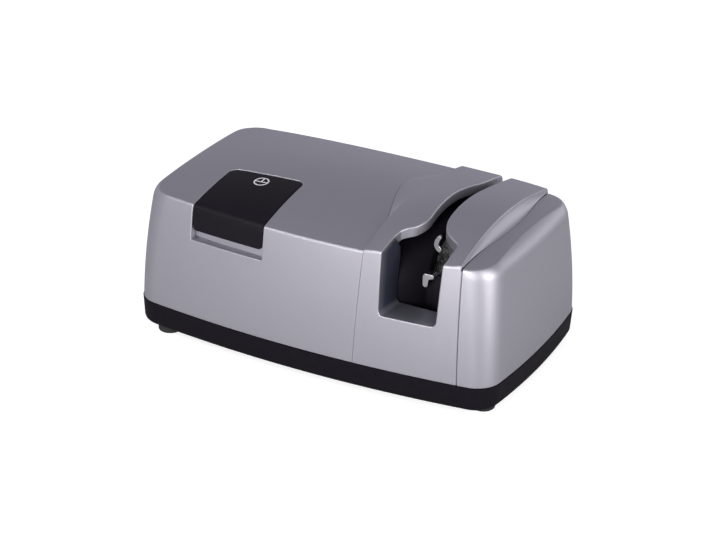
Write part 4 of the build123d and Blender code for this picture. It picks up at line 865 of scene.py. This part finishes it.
def motor_cover():
    patches = Patches()
    counts, rows = (112, 18, 34), (44, 10, 52)
    grid, field = wrapped_cover(LEFT_SEAM, -1, counts, rows, LEFT_POLE, LEFT_WIDTH)

    def both_holes(p):
        return np.minimum(pocket(p) - POCKET_RIM, gland_hole(p) - GLAND_RIM)

    def at_floor(p):
        return inner_point(p, crown, *POCKET_DEPTH)

    def at_seat(p):
        return np.stack([p[:, 0], 0 * p[:, 1] + GLAND_SEAT, p[:, 2]], axis=1)

    points, pairs = add_cut_skin(patches, field, grid, both_holes)
    behind = points[pairs[:, 0], 1] > 0
    hole_rim(patches, field, pocket, points, pairs[~behind], POCKET_RIM, at_floor)
    hole_rim(patches, field, gland_hole, points, pairs[behind], GLAND_RIM, at_seat)
    gland_seat(patches)
    floor_field, floor_grid = pocket_floor()
    overlap = 0.02
    for piece in floor_grid:
        keep = -pocket(piece.reshape(-1, 3), overlap).reshape(piece.shape[:2])
        kept, faces, _ = cut(piece, keep)
        patches.add(kept, directions(floor_field, kept), faces)
    close_cover(patches, field, grid, 1.0)
    make_piece("motor_cover_skin", patches, "silver_cover", "housing", ["motor_cover"])


def pocket_floor():
    """The pocket's inner faces: one parallel to the front wall, one parallel to the top, meeting in a sharp line."""
    behind, under = POCKET_DEPTH
    past = 0.1  # the faces run this far past the pocket's outline, where they are cut

    def field(p):
        return np.maximum(wall(p, STEP + behind), over(p, crown, under))

    x = np.linspace(PAD_X[0] - past, PAD_X[1] + past, 60)
    corner_z = np.full(len(x), EDGE - under)
    for _ in range(4):
        y = front_y(x, corner_z) + behind
        corner_z = crown(x, y) - under
    low = POCKET_LOW - past
    wall_grid = np.stack([np.stack([x, y, low + (corner_z - low) * s], axis=1) for s in np.linspace(0, 1, 12)])
    flat = settle(lambda p: wall(p, STEP + behind), wall_grid.reshape(-1, 3), free=(0, 1, 0))
    wall_grid = flat.reshape(wall_grid.shape)
    corner = wall_grid[-1]
    top_lines = []
    for s in np.linspace(0, 1, 40):
        y_top = corner[:, 1] + (PAD_BACK + past - corner[:, 1]) * s
        top_lines.append(np.stack([x, y_top, crown(x, y_top) - under], axis=1))
    return field, (wall_grid, np.stack(top_lines))


motor_cover()


# %% [markdown]
# The guide cover is a band between two slanted seams: up the front wall, over the arch and down the back. One hole
# runs through it. In front it is a window with slanted sides and a level sill; on the arch it narrows to the knife
# slot between two curved lips; at the back it ends a little way down the wall. The plan of the slot is a closed
# polygon whose corners are cut off three times, and the distance to it is the field. The edge has a small radius in
# front and a larger one on the lips.

# %% The opening as a field
SILL, SLOT_END = 48.0, 62.5  # lower ends of the window in front and of the slot at the back
WINDOW, WINDOW_CORNER, SLOT_CORNER = (44.0, 76.2), 2.8, 1.0  # x of the window's sides at the sill, and radii
WINDOW_EDGE, LIP_EDGE = 0.6, 1.0  # radii of the rolled edge
SLOT_LEFT = [
    (45.2, -43.6), (45.5, -41.6), (46.6, -40.2), (48.5, -38.2), (51.6, -36.0), (53.4, -32.4), (54.7, -28.5),
    (54.7, -24.0), (53.9, -18.0), (53.0, -8.0), (52.4, 1.0), (52.4, 11.0), (54.2, 22.0), (57.4, 33.0), (58.0, 45.0),
    (58.0, 90.0),
]
SLOT_RIGHT = [
    (77.1, -44.0), (77.3, -41.4), (76.4, -39.4), (74.0, -37.9), (70.6, -35.8), (67.0, -32.4), (64.6, -27.6),
    (63.1, -22.0), (62.4, -14.0), (61.8, -2.0), (61.7, 11.0), (62.8, 28.0), (63.6, 45.0), (63.8, 90.0),
]


def corners_cut(loop):
    """A closed polygon with each side replaced by its middle half, three times over (Chaikin's rule)."""
    for _ in range(3):
        after = np.roll(loop, -1, axis=0)
        loop = np.stack([0.75 * loop + 0.25 * after, 0.25 * loop + 0.75 * after], axis=1).reshape(-1, 2)
    return loop


FRONT_CORNERS = [(77.1, -46.0), (76.9, -60.0), (76.8, -90.0), (43.2, -90.0), (43.4, -60.0), (44.3, -46.4)]
PLAN = corners_cut(np.array(SLOT_LEFT + SLOT_RIGHT[::-1] + FRONT_CORNERS))


def to_polygon(x, y, loop):
    """Signed distance to a closed polygon, negative inside, as the least distance to its sides."""
    after = np.roll(loop, -1, axis=0)
    side = after - loop
    px, py = x[:, None] - loop[:, 0], y[:, None] - loop[:, 1]
    share = np.clip((px * side[:, 0] + py * side[:, 1]) / np.sum(side**2, axis=1), 0.0, 1.0)
    far = np.hypot(px - share * side[:, 0], py - share * side[:, 1]).min(axis=1)
    above = (loop[:, 1] > y[:, None]) != (after[:, 1] > y[:, None])
    rising = np.where(side[:, 1] == 0, 1.0, side[:, 1])
    crossing = above & (px < side[:, 0] * py / rising)
    return np.where(crossing.sum(axis=1) % 2 == 1, -far, far)


def opening(p):
    """Negative in the opening: a window on the front wall, blending into the plan of the slot behind the edge.

    The window's sides part by 0.034 for each unit of height, and close by 0.078 for each unit of depth.
    """
    x, y, z = p.T
    slant = 0.034 * (z - SILL) - 0.078 * (y + HALF[1] - STEP)
    sides = np.maximum(WINDOW[0] - slant - x, x - WINDOW[1] - slant)
    window = box_corner(sides, SILL - z, WINDOW_CORNER)
    slot = box_corner(to_polygon(x, y, PLAN), SLOT_END - z, SLOT_CORNER)
    return window + (slot - window) * smoothstep(-57.0, -51.0, y)


def lip_radius(p):
    """Radius of the opening's edge, from the window's to the lips'."""
    return WINDOW_EDGE + (LIP_EDGE - WINDOW_EDGE) * smoothstep(-52.0, -44.0, p[:, 1])


# %% [markdown]
# Behind the window's edge the walls of the recess run straight back to the wheel chamber. Behind the lips there are
# short faces, 5.5 high. The cover's right border is rolled on the walls, and on the arch it is the foot of a flank
# that comes down to the end cover, which is lower.

# %% Guide cover
GUIDE_RADIUS = (1.6, 4.0)  # its top edge in front and at the back
WALL_ROLL = 0.9  # radius of its right border on the walls
FLANK_SHARE, FLANK_COLUMNS = 0.86, 45  # from this far across the columns are closer, and how many they are
CHAMBER_Y, CHAMBER_LEAN = -45.6, 4.2  # y of the recess's end at the sill, and how much farther back it is above
LIP_DEPTH = 5.5


def guide_roll(z):
    """Radius of the right border: larger on the walls, and small along the foot of the arch's flank."""
    return WALL_ROLL + (ROLL - WALL_ROLL) * smoothstep(79.0, 83.5, z)


def guide_grid(columns, wall_rows, edge_rows, top_rows):
    """Grid over the guide cover, from the foot in front to the foot at the back."""
    spread = np.linspace(0.0, FLANK_SHARE, columns - FLANK_COLUMNS + 1)
    share = np.concatenate([spread[:-1], np.linspace(FLANK_SHARE, 1.0, FLANK_COLUMNS)])

    def x_at(z, y):
        left = seam_x(LEFT_SEAM, z, y) + SEAM_GAP[LEFT_SEAM] / 2 + ROLL
        return left + (seam_x(RIGHT_SEAM, z, y) - SEAM_GAP[RIGHT_SEAM] / 2 - guide_roll(z) - left) * share

    def wall_at(z, side):
        x = x_at(z, -60.0)
        y = side * (reach_at(z, 0.0)[1] - BOW_SIDE * (x / CROWN_HALF[0]) ** 2)
        p = np.stack([x, y, z], axis=1)
        return settle(lambda q: outline(q, STEP, 0.0), p, free=(0, 1, 0))

    def edge_of(side):
        z = np.full(columns, EDGE + 3.0)
        for _ in range(6):
            edge = wall_at(z, side)
            z = guide_top(edge[:, 0], edge[:, 1])
        return edge

    def climb(side, edge, radius):
        """Rows of a wall from the foot to a little under the edge, closer towards the top."""
        top = edge[:, 2] - 1.4 * radius
        even = np.linspace(0.0, 1.0, wall_rows)
        closing = even + 0.12 * np.sin(math.pi * even)
        return [wall_at(COVER_FOOT + (top - COVER_FOOT) * s, side) for s in closing]

    front, back = edge_of(-1.0), edge_of(1.0)
    up, down = climb(-1.0, front, GUIDE_RADIUS[0]), climb(1.0, back, GUIDE_RADIUS[1])[::-1]
    y0, y1 = front[:, 1] + 1.5 * GUIDE_RADIUS[0], back[:, 1] - 1.4 * GUIDE_RADIUS[1]
    tops = []
    for s in np.linspace(0.0, 1.0, top_rows):
        y = y0 + (y1 - y0) * s
        x = front[:, 0] + (back[:, 0] - front[:, 0]) * s
        for _ in range(3):
            x = x_at(guide_top(x, y), y)
        tops.append(np.stack([x, y, guide_top(x, y)], axis=1))
    shares = np.linspace(0.0, 1.0, edge_rows + 2)[1:-1]
    rise = [up[-1] + (tops[0] - up[-1]) * s for s in shares]
    fall = [tops[-1] + (down[0] - tops[-1]) * s for s in shares]
    grid = np.stack(up + rise + tops + fall + down)
    free = np.zeros(grid.shape)
    free[:wall_rows + edge_rows, :, 1] = 1
    free[-wall_rows - edge_rows:, :, 1] = 1
    free[wall_rows:-wall_rows, :, 2] = 1
    return grid, free


def guide_field(p):
    return body(p, guide_top, rounded=0.0, radius=GUIDE_RADIUS)


def behind_opening(p):
    """Where the opening's walls end: at the chamber behind the recess, and a little under the arch at the lips.

    Above 70 the recess's points come down by a third of their height over it. Its left wall draws in by 0.14 for each
    unit of depth, and its right wall draws out by 0.078, from where the window's own slant ends.
    """
    x, y, z = p.T
    low_z = np.where(z < 70.0, z, 70.0 + (z - 70.0) * 0.66)
    back = CHAMBER_Y + CHAMBER_LEAN * smoothstep(50.0, 81.5, low_z)
    narrower = np.where(x < 60.0, 0.14, -0.078) * (back - y) * (1 - smoothstep(-54.0, -46.0, y))
    recess = np.stack([x + narrower, back, low_z + 1.2 * (1 - smoothstep(48.0, 58.0, low_z))], axis=1)
    lip_y, lip_z = np.minimum(y, reach_at(z, 0.0)[1] - 6.0), np.minimum(z, arch(x, y) - LIP_DEPTH)
    lip = np.stack([x, lip_y, lip_z], axis=1)
    lip[:, 2] = np.where(y > 50.0, np.minimum(lip[:, 2], z), lip[:, 2])
    share = smoothstep(-46.0, -43.0, y)[:, None]
    return recess + (lip - recess) * share


def guide_cover():
    patches = Patches()
    rough, free = guide_grid(columns=150, wall_rows=46, edge_rows=9, top_rows=110)
    flat = settle(guide_field, rough.reshape(-1, 3), free=free.reshape(-1, 3))
    grid = flat.reshape(rough.shape)
    print(f"guide grid {grid.shape[:2]}, worst miss {np.abs(guide_field(flat)).max():.4f} mm")

    def edge(p):
        return opening(p) - lip_radius(p)

    def shade(p):
        """Painted shade on the recess walls: half at the sill, full 3 above it, and none behind the recess."""
        return (0.5 + 0.5 * smoothstep(SILL, SILL + 3.0, p[:, 2])) * (1 - smoothstep(-48.0, -43.5, p[:, 1]))

    def left_inner(p):
        return inner_point(p, guide_top, SKIN, SKIN, 0.0)

    def right_inner(p):
        return inner_point(p, crown, SKIN, 1.5, 0.0)

    points, pairs = add_cut_skin(patches, guide_field, grid, edge)
    hole_rim(patches, guide_field, opening, points, pairs, lip_radius, behind_opening, painted_shade=shade)
    out = np.array([1.0, 0.0, 0.0])
    left, right = grid[:, 0], grid[:, -1]
    seam_edge(patches, guide_field, left, np.broadcast_to(-out, left.shape), ROLL, left_inner)
    seam_edge(patches, guide_field, right, np.broadcast_to(out, right.shape), guide_roll(right[:, 2]), right_inner)
    foot_edge(patches, grid[0], directions(guide_field, grid[0]))
    foot_edge(patches, grid[-1], directions(guide_field, grid[-1]))
    make_piece("guide_cover_skin", patches, "silver_cover", "housing", ["guide_cover"])


guide_cover()


# %% [markdown]
# The end cover is the motor cover's form without a pocket, wrapped round the right end.

# %% End cover
def end_cover():
    patches = Patches()
    counts, rows = (0, 26, 44), (44, 12, 44)
    grid, field = wrapped_cover(RIGHT_SEAM, 1, counts, rows, RIGHT_POLE, RIGHT_WIDTH)
    patches.grid(grid, directions(field, grid))
    close_cover(patches, field, grid, -1.0)
    make_piece("end_cover_skin", patches, "silver_cover", "housing", ["end_cover"])


end_cover()


# %% [markdown]
# The pad follows the motor cover's surface a little below it, with a softer front edge and round lower corners. Its
# rim is rolled like the pocket's, and a second skin 3 inside the first closes it underneath.

# %% Start button's pad
PAD_SUNK, PAD_SKIN, PAD_RIM = 0.15, 3.0, 0.6  # depth under the cover's surface, thickness, radius of the rim
PAD_EDGE, PAD_EDGE_INSIDE, PAD_LOW_CORNER = 6.0, 1.2, 2.4  # radii of its top edge and of its lower corners


def pad():
    patches = Patches()
    x_range = (PAD_X[0] + 0.1, PAD_X[1] - 0.1)
    under = PAD_SUNK + PAD_SKIN

    def outer(p):
        return body(p, crown, PAD_SUNK, PAD_SUNK, radius=(PAD_EDGE, PAD_EDGE))

    def inner(p):
        return body(p, crown, under, under, radius=(PAD_EDGE_INSIDE, PAD_EDGE_INSIDE))

    def border(p):
        return pocket(p, -PAD_GAP, PAD_LOW, PAD_LOW_CORNER)

    def at_inner(p):
        return inner_point(p, crown, under, under)

    skins = [(outer, PAD_SUNK, PAD_RIM, 70, (12, 18, 50)), (inner, under, 0.0, 40, (12, 18, 20))]
    for field, depth, rim, columns, rows in skins:
        rough, free = front_grid(x_range, PAD_BACK, PAD_LOW - 0.2, columns, rows, depth)
        flat = settle(field, rough.reshape(-1, 3), free=free.reshape(-1, 3))
        grid = flat.reshape(rough.shape)
        keep = -border(flat).reshape(grid.shape[:2]) - rim
        points, faces, pairs = cut(grid, keep)
        ends = np.unique(pairs)
        points[ends] = onto_edge(field, border, points[ends], -rim)
        if rim:
            patches.add(points, directions(field, points), faces)
            hole_rim(patches, field, border, points, pairs, rim, at_inner, solid_side=-1.0)
        else:
            patches.add(points, -directions(field, points), faces)
    make_piece("button_pad", patches, "black_button", "button", ["start_button"])


pad()


# %% [markdown]
# The button carries the usual sign for a push contact: a ring with an upside-down T. It is a thin white print, 0.03
# thick, that follows the pad. Each stroke is a small grid in its own two directions, laid on the pad's height map.

# %% Sign on the button
SIGN = np.array([-47.8, -23.0])
SIGN_RING, SIGN_STROKE = (3.5, 4.3), 0.8  # radii of the ring, width of the strokes in it
SIGN_BAR = (-0.7, 0.1)  # lower and upper edge of the bar, from the middle
PRINT = 0.03


def button_sign():
    patches = Patches()

    def lay(x, y):
        """Adds a grid of plan places, lifted onto the pad, with a thin side all round."""
        def surface(q):
            return over(q, crown, PAD_SUNK)

        flat = np.stack([x + SIGN[0], y + SIGN[1], crown(x + SIGN[0], y + SIGN[1]) - PAD_SUNK + PRINT], axis=-1)
        patches.grid(flat, directions(surface, flat))
        sides = [flat[0], flat[-1], flat[:, 0], flat[:, -1]]
        outward = [flat[0] - flat[1], flat[-1] - flat[-2], flat[:, 0] - flat[:, 1], flat[:, -1] - flat[:, -2]]
        for line, away in zip(sides, outward):
            rings = np.stack([line, line - np.array([0.0, 0.0, 2 * PRINT])])
            patches.strip(rings, np.broadcast_to(unit(away), rings.shape), along(len(line)))

    turn, radius = np.meshgrid(np.linspace(0, 2 * math.pi, 73), np.linspace(*SIGN_RING, 3), indexing="ij")
    lay(radius * np.cos(turn), radius * np.sin(turn))
    end = SIGN_RING[0] + 0.05  # the strokes run a little way into the ring
    bar_x, bar_y = np.meshgrid(np.linspace(-end, end, 15), SIGN_BAR, indexing="ij")
    lay(bar_x, bar_y)
    stem_y, stem_x = np.meshgrid(np.linspace(SIGN_BAR[1], end, 9), [-SIGN_STROKE / 2, SIGN_STROKE / 2], indexing="ij")
    lay(stem_x, stem_y)
    make_piece("button_sign", patches, "white_plastic", "button")


button_sign()


# %% [markdown]
# Behind the recess stands the wheel chamber, a black moulding bent round the wheels. Its wall is thick: outside it
# follows a rounded square in side view that is deepest beside the recess, and inside it is a plain cylinder a little
# larger than the wheels. It comes in stretches along the axis: a full one left of the blade slit, low ones in front
# of the slit's foot and the right wheel, so that the grit shows above them, and a full one at the right.

# %% Wheel chamber
AXIS_Z, ROOM = 49.5, 29.6  # height of the axis, radius of the room round the wheels
BEHIND, BELOW = 33.0, 31.0  # how far the chamber reaches behind and below the axis
SQUARENESS = 2.4  # 2 would make its side view an ellipse
SLIT = (58.3, 63.3)
STRETCHES = [  # x, reach in front at the two ends, reach above, angles in side view from the front up, columns, rows
    ((40.5, SLIT[0]), (45.4, 35.0), 33.0, (-40, 220), 30, 120),
    (SLIT, (35.0, 34.0), 31.0, (-40, 14), 6, 30),
    ((SLIT[1], 72.6), (38.0, 37.0), 31.0, (-40, 24), 14, 40),
    ((72.6, 77.0), (37.0, 37.0), 32.0, (-40, 220), 6, 90),
]


def chamber_wall(patches, x_range, depth, top, angles, columns, rows):
    """One stretch: outer face |y/a|^n + |z/b|^n = 1, inner cylinder, and the faces that join them."""
    turn = np.linspace(*np.radians(angles), rows)[:, None] + np.zeros(columns)
    share = np.linspace(0.0, 1.0, columns)[None, :] + np.zeros((rows, 1))
    x = x_range[0] + (x_range[1] - x_range[0]) * share
    c, s = np.cos(turn), np.sin(turn)
    a = np.where(c > 0, depth[0] + (depth[1] - depth[0]) * share**2.2, BEHIND)
    b = np.where(s > 0, top, BELOW)
    power = 2 / SQUARENESS
    outer = np.stack([x, -a * np.sign(c) * np.abs(c) ** power, AXIS_Z + b * np.sign(s) * np.abs(s) ** power], axis=2)
    inner = np.stack([x, -ROOM * c, AXIS_Z + ROOM * s], axis=2)
    facing = np.cross(np.gradient(outer, axis=0), np.gradient(outer, axis=1))
    middle = np.stack([x * 0, outer[:, :, 1], outer[:, :, 2] - AXIS_Z], axis=2)
    facing = unit(facing * np.sign(np.sum(facing * middle, axis=2, keepdims=True)))
    patches.grid(outer, facing)
    patches.grid(inner, np.stack([x * 0, c, -s], axis=2))
    for column, way in ((0, -1.0), (-1, 1.0)):
        rings = np.stack([outer[:, column], inner[:, column]])
        patches.strip(rings, np.broadcast_to([way, 0.0, 0.0], rings.shape), along(rows))
    for row, way in ((0, -1.0), (-1, 1.0)):
        rings = np.stack([outer[row], inner[row]])
        away = np.stack([0 * s[row], way * s[row], way * c[row]], axis=1)
        patches.strip(rings, np.broadcast_to(away, rings.shape), along(columns))


def wheel_chamber():
    patches = Patches()
    for stretch in STRETCHES:
        chamber_wall(patches, *stretch)
    make_piece("wheel_chamber", patches, "black_plastic", "housing", ["wheel_guard"])


wheel_chamber()


# %% [markdown]
# Two small metal pieces guide the blade: an L-shaped tab that its edge comes to rest on, and a bent spring leaf that
# steadies it. Each is a closed outline in front view, with corners rounded off and a bevel along its front edges.

# %% Blade rest and spring
def bent_plate(patches, loop, y_front, y_back, bevel):
    """A plate with a closed outline in x and z, its front edges bevelled."""
    after, before = np.roll(loop, -1, axis=0), np.roll(loop, 1, axis=0)
    along_loop = unit(after - before)
    area = np.sum(loop[:, 0] * after[:, 1] - after[:, 0] * loop[:, 1])
    out = np.stack([along_loop[:, 1], -along_loop[:, 0]], axis=1) * np.sign(area)

    def ring(inset, y):
        places = loop - out * inset
        return np.stack([places[:, 0], np.full(len(loop), y), places[:, 1]], axis=1)

    n = len(loop)
    pairs = np.stack([np.arange(n), (np.arange(n) + 1) % n], axis=1)
    side = np.stack([out[:, 0], 0 * out[:, 0], out[:, 1]], axis=1)
    front = np.array([0.0, -1.0, 0.0])
    angles = np.linspace(0, math.pi / 2, 4)
    turned = [unit(side * math.sin(t) + front * math.cos(t)) for t in angles]
    rings = [ring(bevel * (1 - math.sin(t)), y_front + bevel * (1 - math.cos(t))) for t in angles]
    patches.strip(rings, turned, pairs)
    patches.strip([rings[-1], ring(0.0, y_back)], [side, side], pairs)
    for flat, way in ((rings[0], -1.0), (ring(0.0, y_back), 1.0)):
        triangles = tessellate_polygon([[tuple(p) for p in flat]])
        patches.add(flat, np.broadcast_to([0.0, way, 0.0], flat.shape), triangles)


def blade_rest():
    patches = Patches()
    loop = np.array([
        (57.3, 57.6), (57.3, 61.0), (57.3, 65.2), (60.5, 65.4),
        (63.9, 65.5), (63.9, 62.9), (60.7, 62.7), (60.5, 57.6),
    ])
    bent_plate(patches, corners_cut(loop), y_front=-38.6, y_back=-33.6, bevel=0.35)
    make_piece("blade_rest_tab", patches, "bright_steel", "housing", ["blade_rest"])


def blade_spring():
    """A ribbon along a bent line, a little wider below."""
    patches = Patches()
    line = np.array([(63.6, 84.8), (62.3, 83.6), (61.4, 81.6), (61.0, 79.4), (62.2, 77.7), (63.9, 76.4)])
    wide = np.array([1.0, 1.2, 1.4, 1.5, 1.6, 1.4])[:, None]
    side = unit(np.gradient(line, axis=0))[:, ::-1] * np.array([-1.0, 1.0]) * wide
    loop = np.concatenate([line + side, (line - side)[::-1]])
    bent_plate(patches, corners_cut(loop), y_front=-31.6, y_back=-30.2, bevel=0.3)
    make_piece("blade_spring_leaf", patches, "spring_steel", "housing", ["blade_spring"])


blade_rest()
blade_spring()


# %% [markdown]
# The sharpener stands on a plain white floor in soft light. The floor keeps its shadow, and its white is added only
# for what the camera sees directly, so it puts no extra light on the piece. The sky is pale near the horizon and dim
# overhead, which is what gives a silver top its darker tone beside a silver front.

# %% Floor and sky
FLOOR_GREY, FLOOR_GLOW = 0.62, 0.75  # its colour, and the light that the camera alone sees from it


def white_floor():
    mesh = bpy.data.meshes.new("floor")
    half = 6.0
    mesh.from_pydata([(-half, -half, 0), (half, -half, 0), (half, half, 0), (-half, half, 0)], [], [(0, 1, 2, 3)])
    floor = bpy.data.objects.new("floor", mesh)
    bpy.context.scene.collection.objects.link(floor)
    paint = Paint("white_floor", Base_Color=grey(FLOOR_GREY), Roughness=0.9, Specular_IOR_Level=0.0)
    seen = paint.node("ShaderNodeLightPath", output="Is Camera Ray")
    glow = paint.node("ShaderNodeEmission", inputs={"Strength": seen * FLOOR_GLOW})
    both = paint.node("ShaderNodeAddShader", inputs=[Value(paint, paint.shader.outputs[0]), glow])
    paint.give(paint.tree.nodes["Material Output"].inputs["Surface"], both)
    mesh.materials.append(paint.material)


def studio_sky():
    """Pale at the horizon, dim from 37 degrees up, along a colour ramp over the ray's height."""
    world = bpy.data.worlds.new("studio")
    bpy.context.scene.world = world
    world.use_nodes = True
    tree = world.node_tree
    coordinates = tree.nodes.new("ShaderNodeTexCoord")
    parts = tree.nodes.new("ShaderNodeSeparateXYZ")
    ramp = tree.nodes.new("ShaderNodeValToRGB")
    stops = [(0.0, 0.75), (0.08, 0.65), (0.3, 0.36), (0.6, 0.285), (1.0, 0.285)]
    while len(ramp.color_ramp.elements) < len(stops):
        ramp.color_ramp.elements.new(0.5)
    for element, (height, level) in zip(ramp.color_ramp.elements, stops):
        element.position = height
        element.color = (level, level * 0.98, level * 1.12, 1)
    tree.links.new(coordinates.outputs["Generated"], parts.inputs[0])
    tree.links.new(parts.outputs["Z"], ramp.inputs[0])
    tree.links.new(ramp.outputs[0], tree.nodes["Background"].inputs["Color"])


white_floor()
studio_sky()


# %% [markdown]
# Four soft lamps: a wide one in front, low enough to draw a bright line along every front edge, a narrow one towards
# the right front corner, one from the upper left for the edges of the top, and a wide one behind on the right.

# %% Lamps
def toward(azimuth, elevation):
    """Direction to a place round the piece: azimuth 0 is in front, 90 on the right."""
    a, e = math.radians(azimuth), math.radians(elevation)
    return np.array([math.sin(a) * math.cos(e), -math.cos(a) * math.cos(e), math.sin(e)])


MIDDLE = np.array([0.0, 0.0, 0.04])  # the place inside the piece that all lamps face


def lamp(name, azimuth, elevation, away, size, power):
    """A rectangle of light that faces the piece, with its size and distance in metres and its power in watts."""
    data = bpy.data.lights.new(name, "AREA")
    data.shape = "RECTANGLE"
    data.size, data.size_y = size
    data.energy = power
    light = bpy.data.objects.new(name, data)
    bpy.context.scene.collection.objects.link(light)
    back = toward(azimuth, elevation)
    right = unit(np.cross([0.0, 0.0, 1.0], back))
    axes = np.stack([right, np.cross(back, right), back], axis=1)
    place = MIDDLE + back * away
    light.matrix_world = Matrix([[*axes[i], place[i]] for i in range(3)] + [[0, 0, 0, 1]])


lamp("front_lamp", azimuth=4.0, elevation=16.0, away=1.8, size=(1.4, 0.8), power=21.5)
lamp("corner_lamp", azimuth=73.0, elevation=12.0, away=1.4, size=(0.6, 0.8), power=10.0)
lamp("edge_lamp", azimuth=-38.0, elevation=48.0, away=1.8, size=(0.6, 0.5), power=6.0)
lamp("rear_lamp", azimuth=148.0, elevation=15.0, away=1.8, size=(1.5, 0.6), power=2.6)

# %% [markdown]
# The camera stands in front, to the right and above, and is turned a little about its own axis. Its place and turn
# are written as angles, and its lens as a focal length on a 36 mm wide sensor.

# %% Camera
def camera():
    azimuth, elevation, turn = 27.323, 26.3903, math.radians(1.3762)
    back = toward(azimuth, elevation)
    level = np.array([math.cos(math.radians(azimuth)), math.sin(math.radians(azimuth)), 0.0])
    up = np.cross(back, level)
    right = level * math.cos(turn) + up * math.sin(turn)
    up = up * math.cos(turn) - level * math.sin(turn)
    eye = np.array([0.538867, -1.043366, 0.618964])
    data = bpy.data.cameras.new("camera")
    data.sensor_width, data.lens = 36.0, 120.95
    data.clip_start, data.clip_end = 0.05, 50.0
    seen = bpy.data.objects.new("camera", data)
    bpy.context.scene.collection.objects.link(seen)
    axes = np.stack([right, up, back], axis=1)
    seen.matrix_world = Matrix([[*axes[i], eye[i]] for i in range(3)] + [[0, 0, 0, 1]])
    bpy.context.scene.camera = seen


camera()
bpy.context.scene.view_settings.view_transform = "Standard"
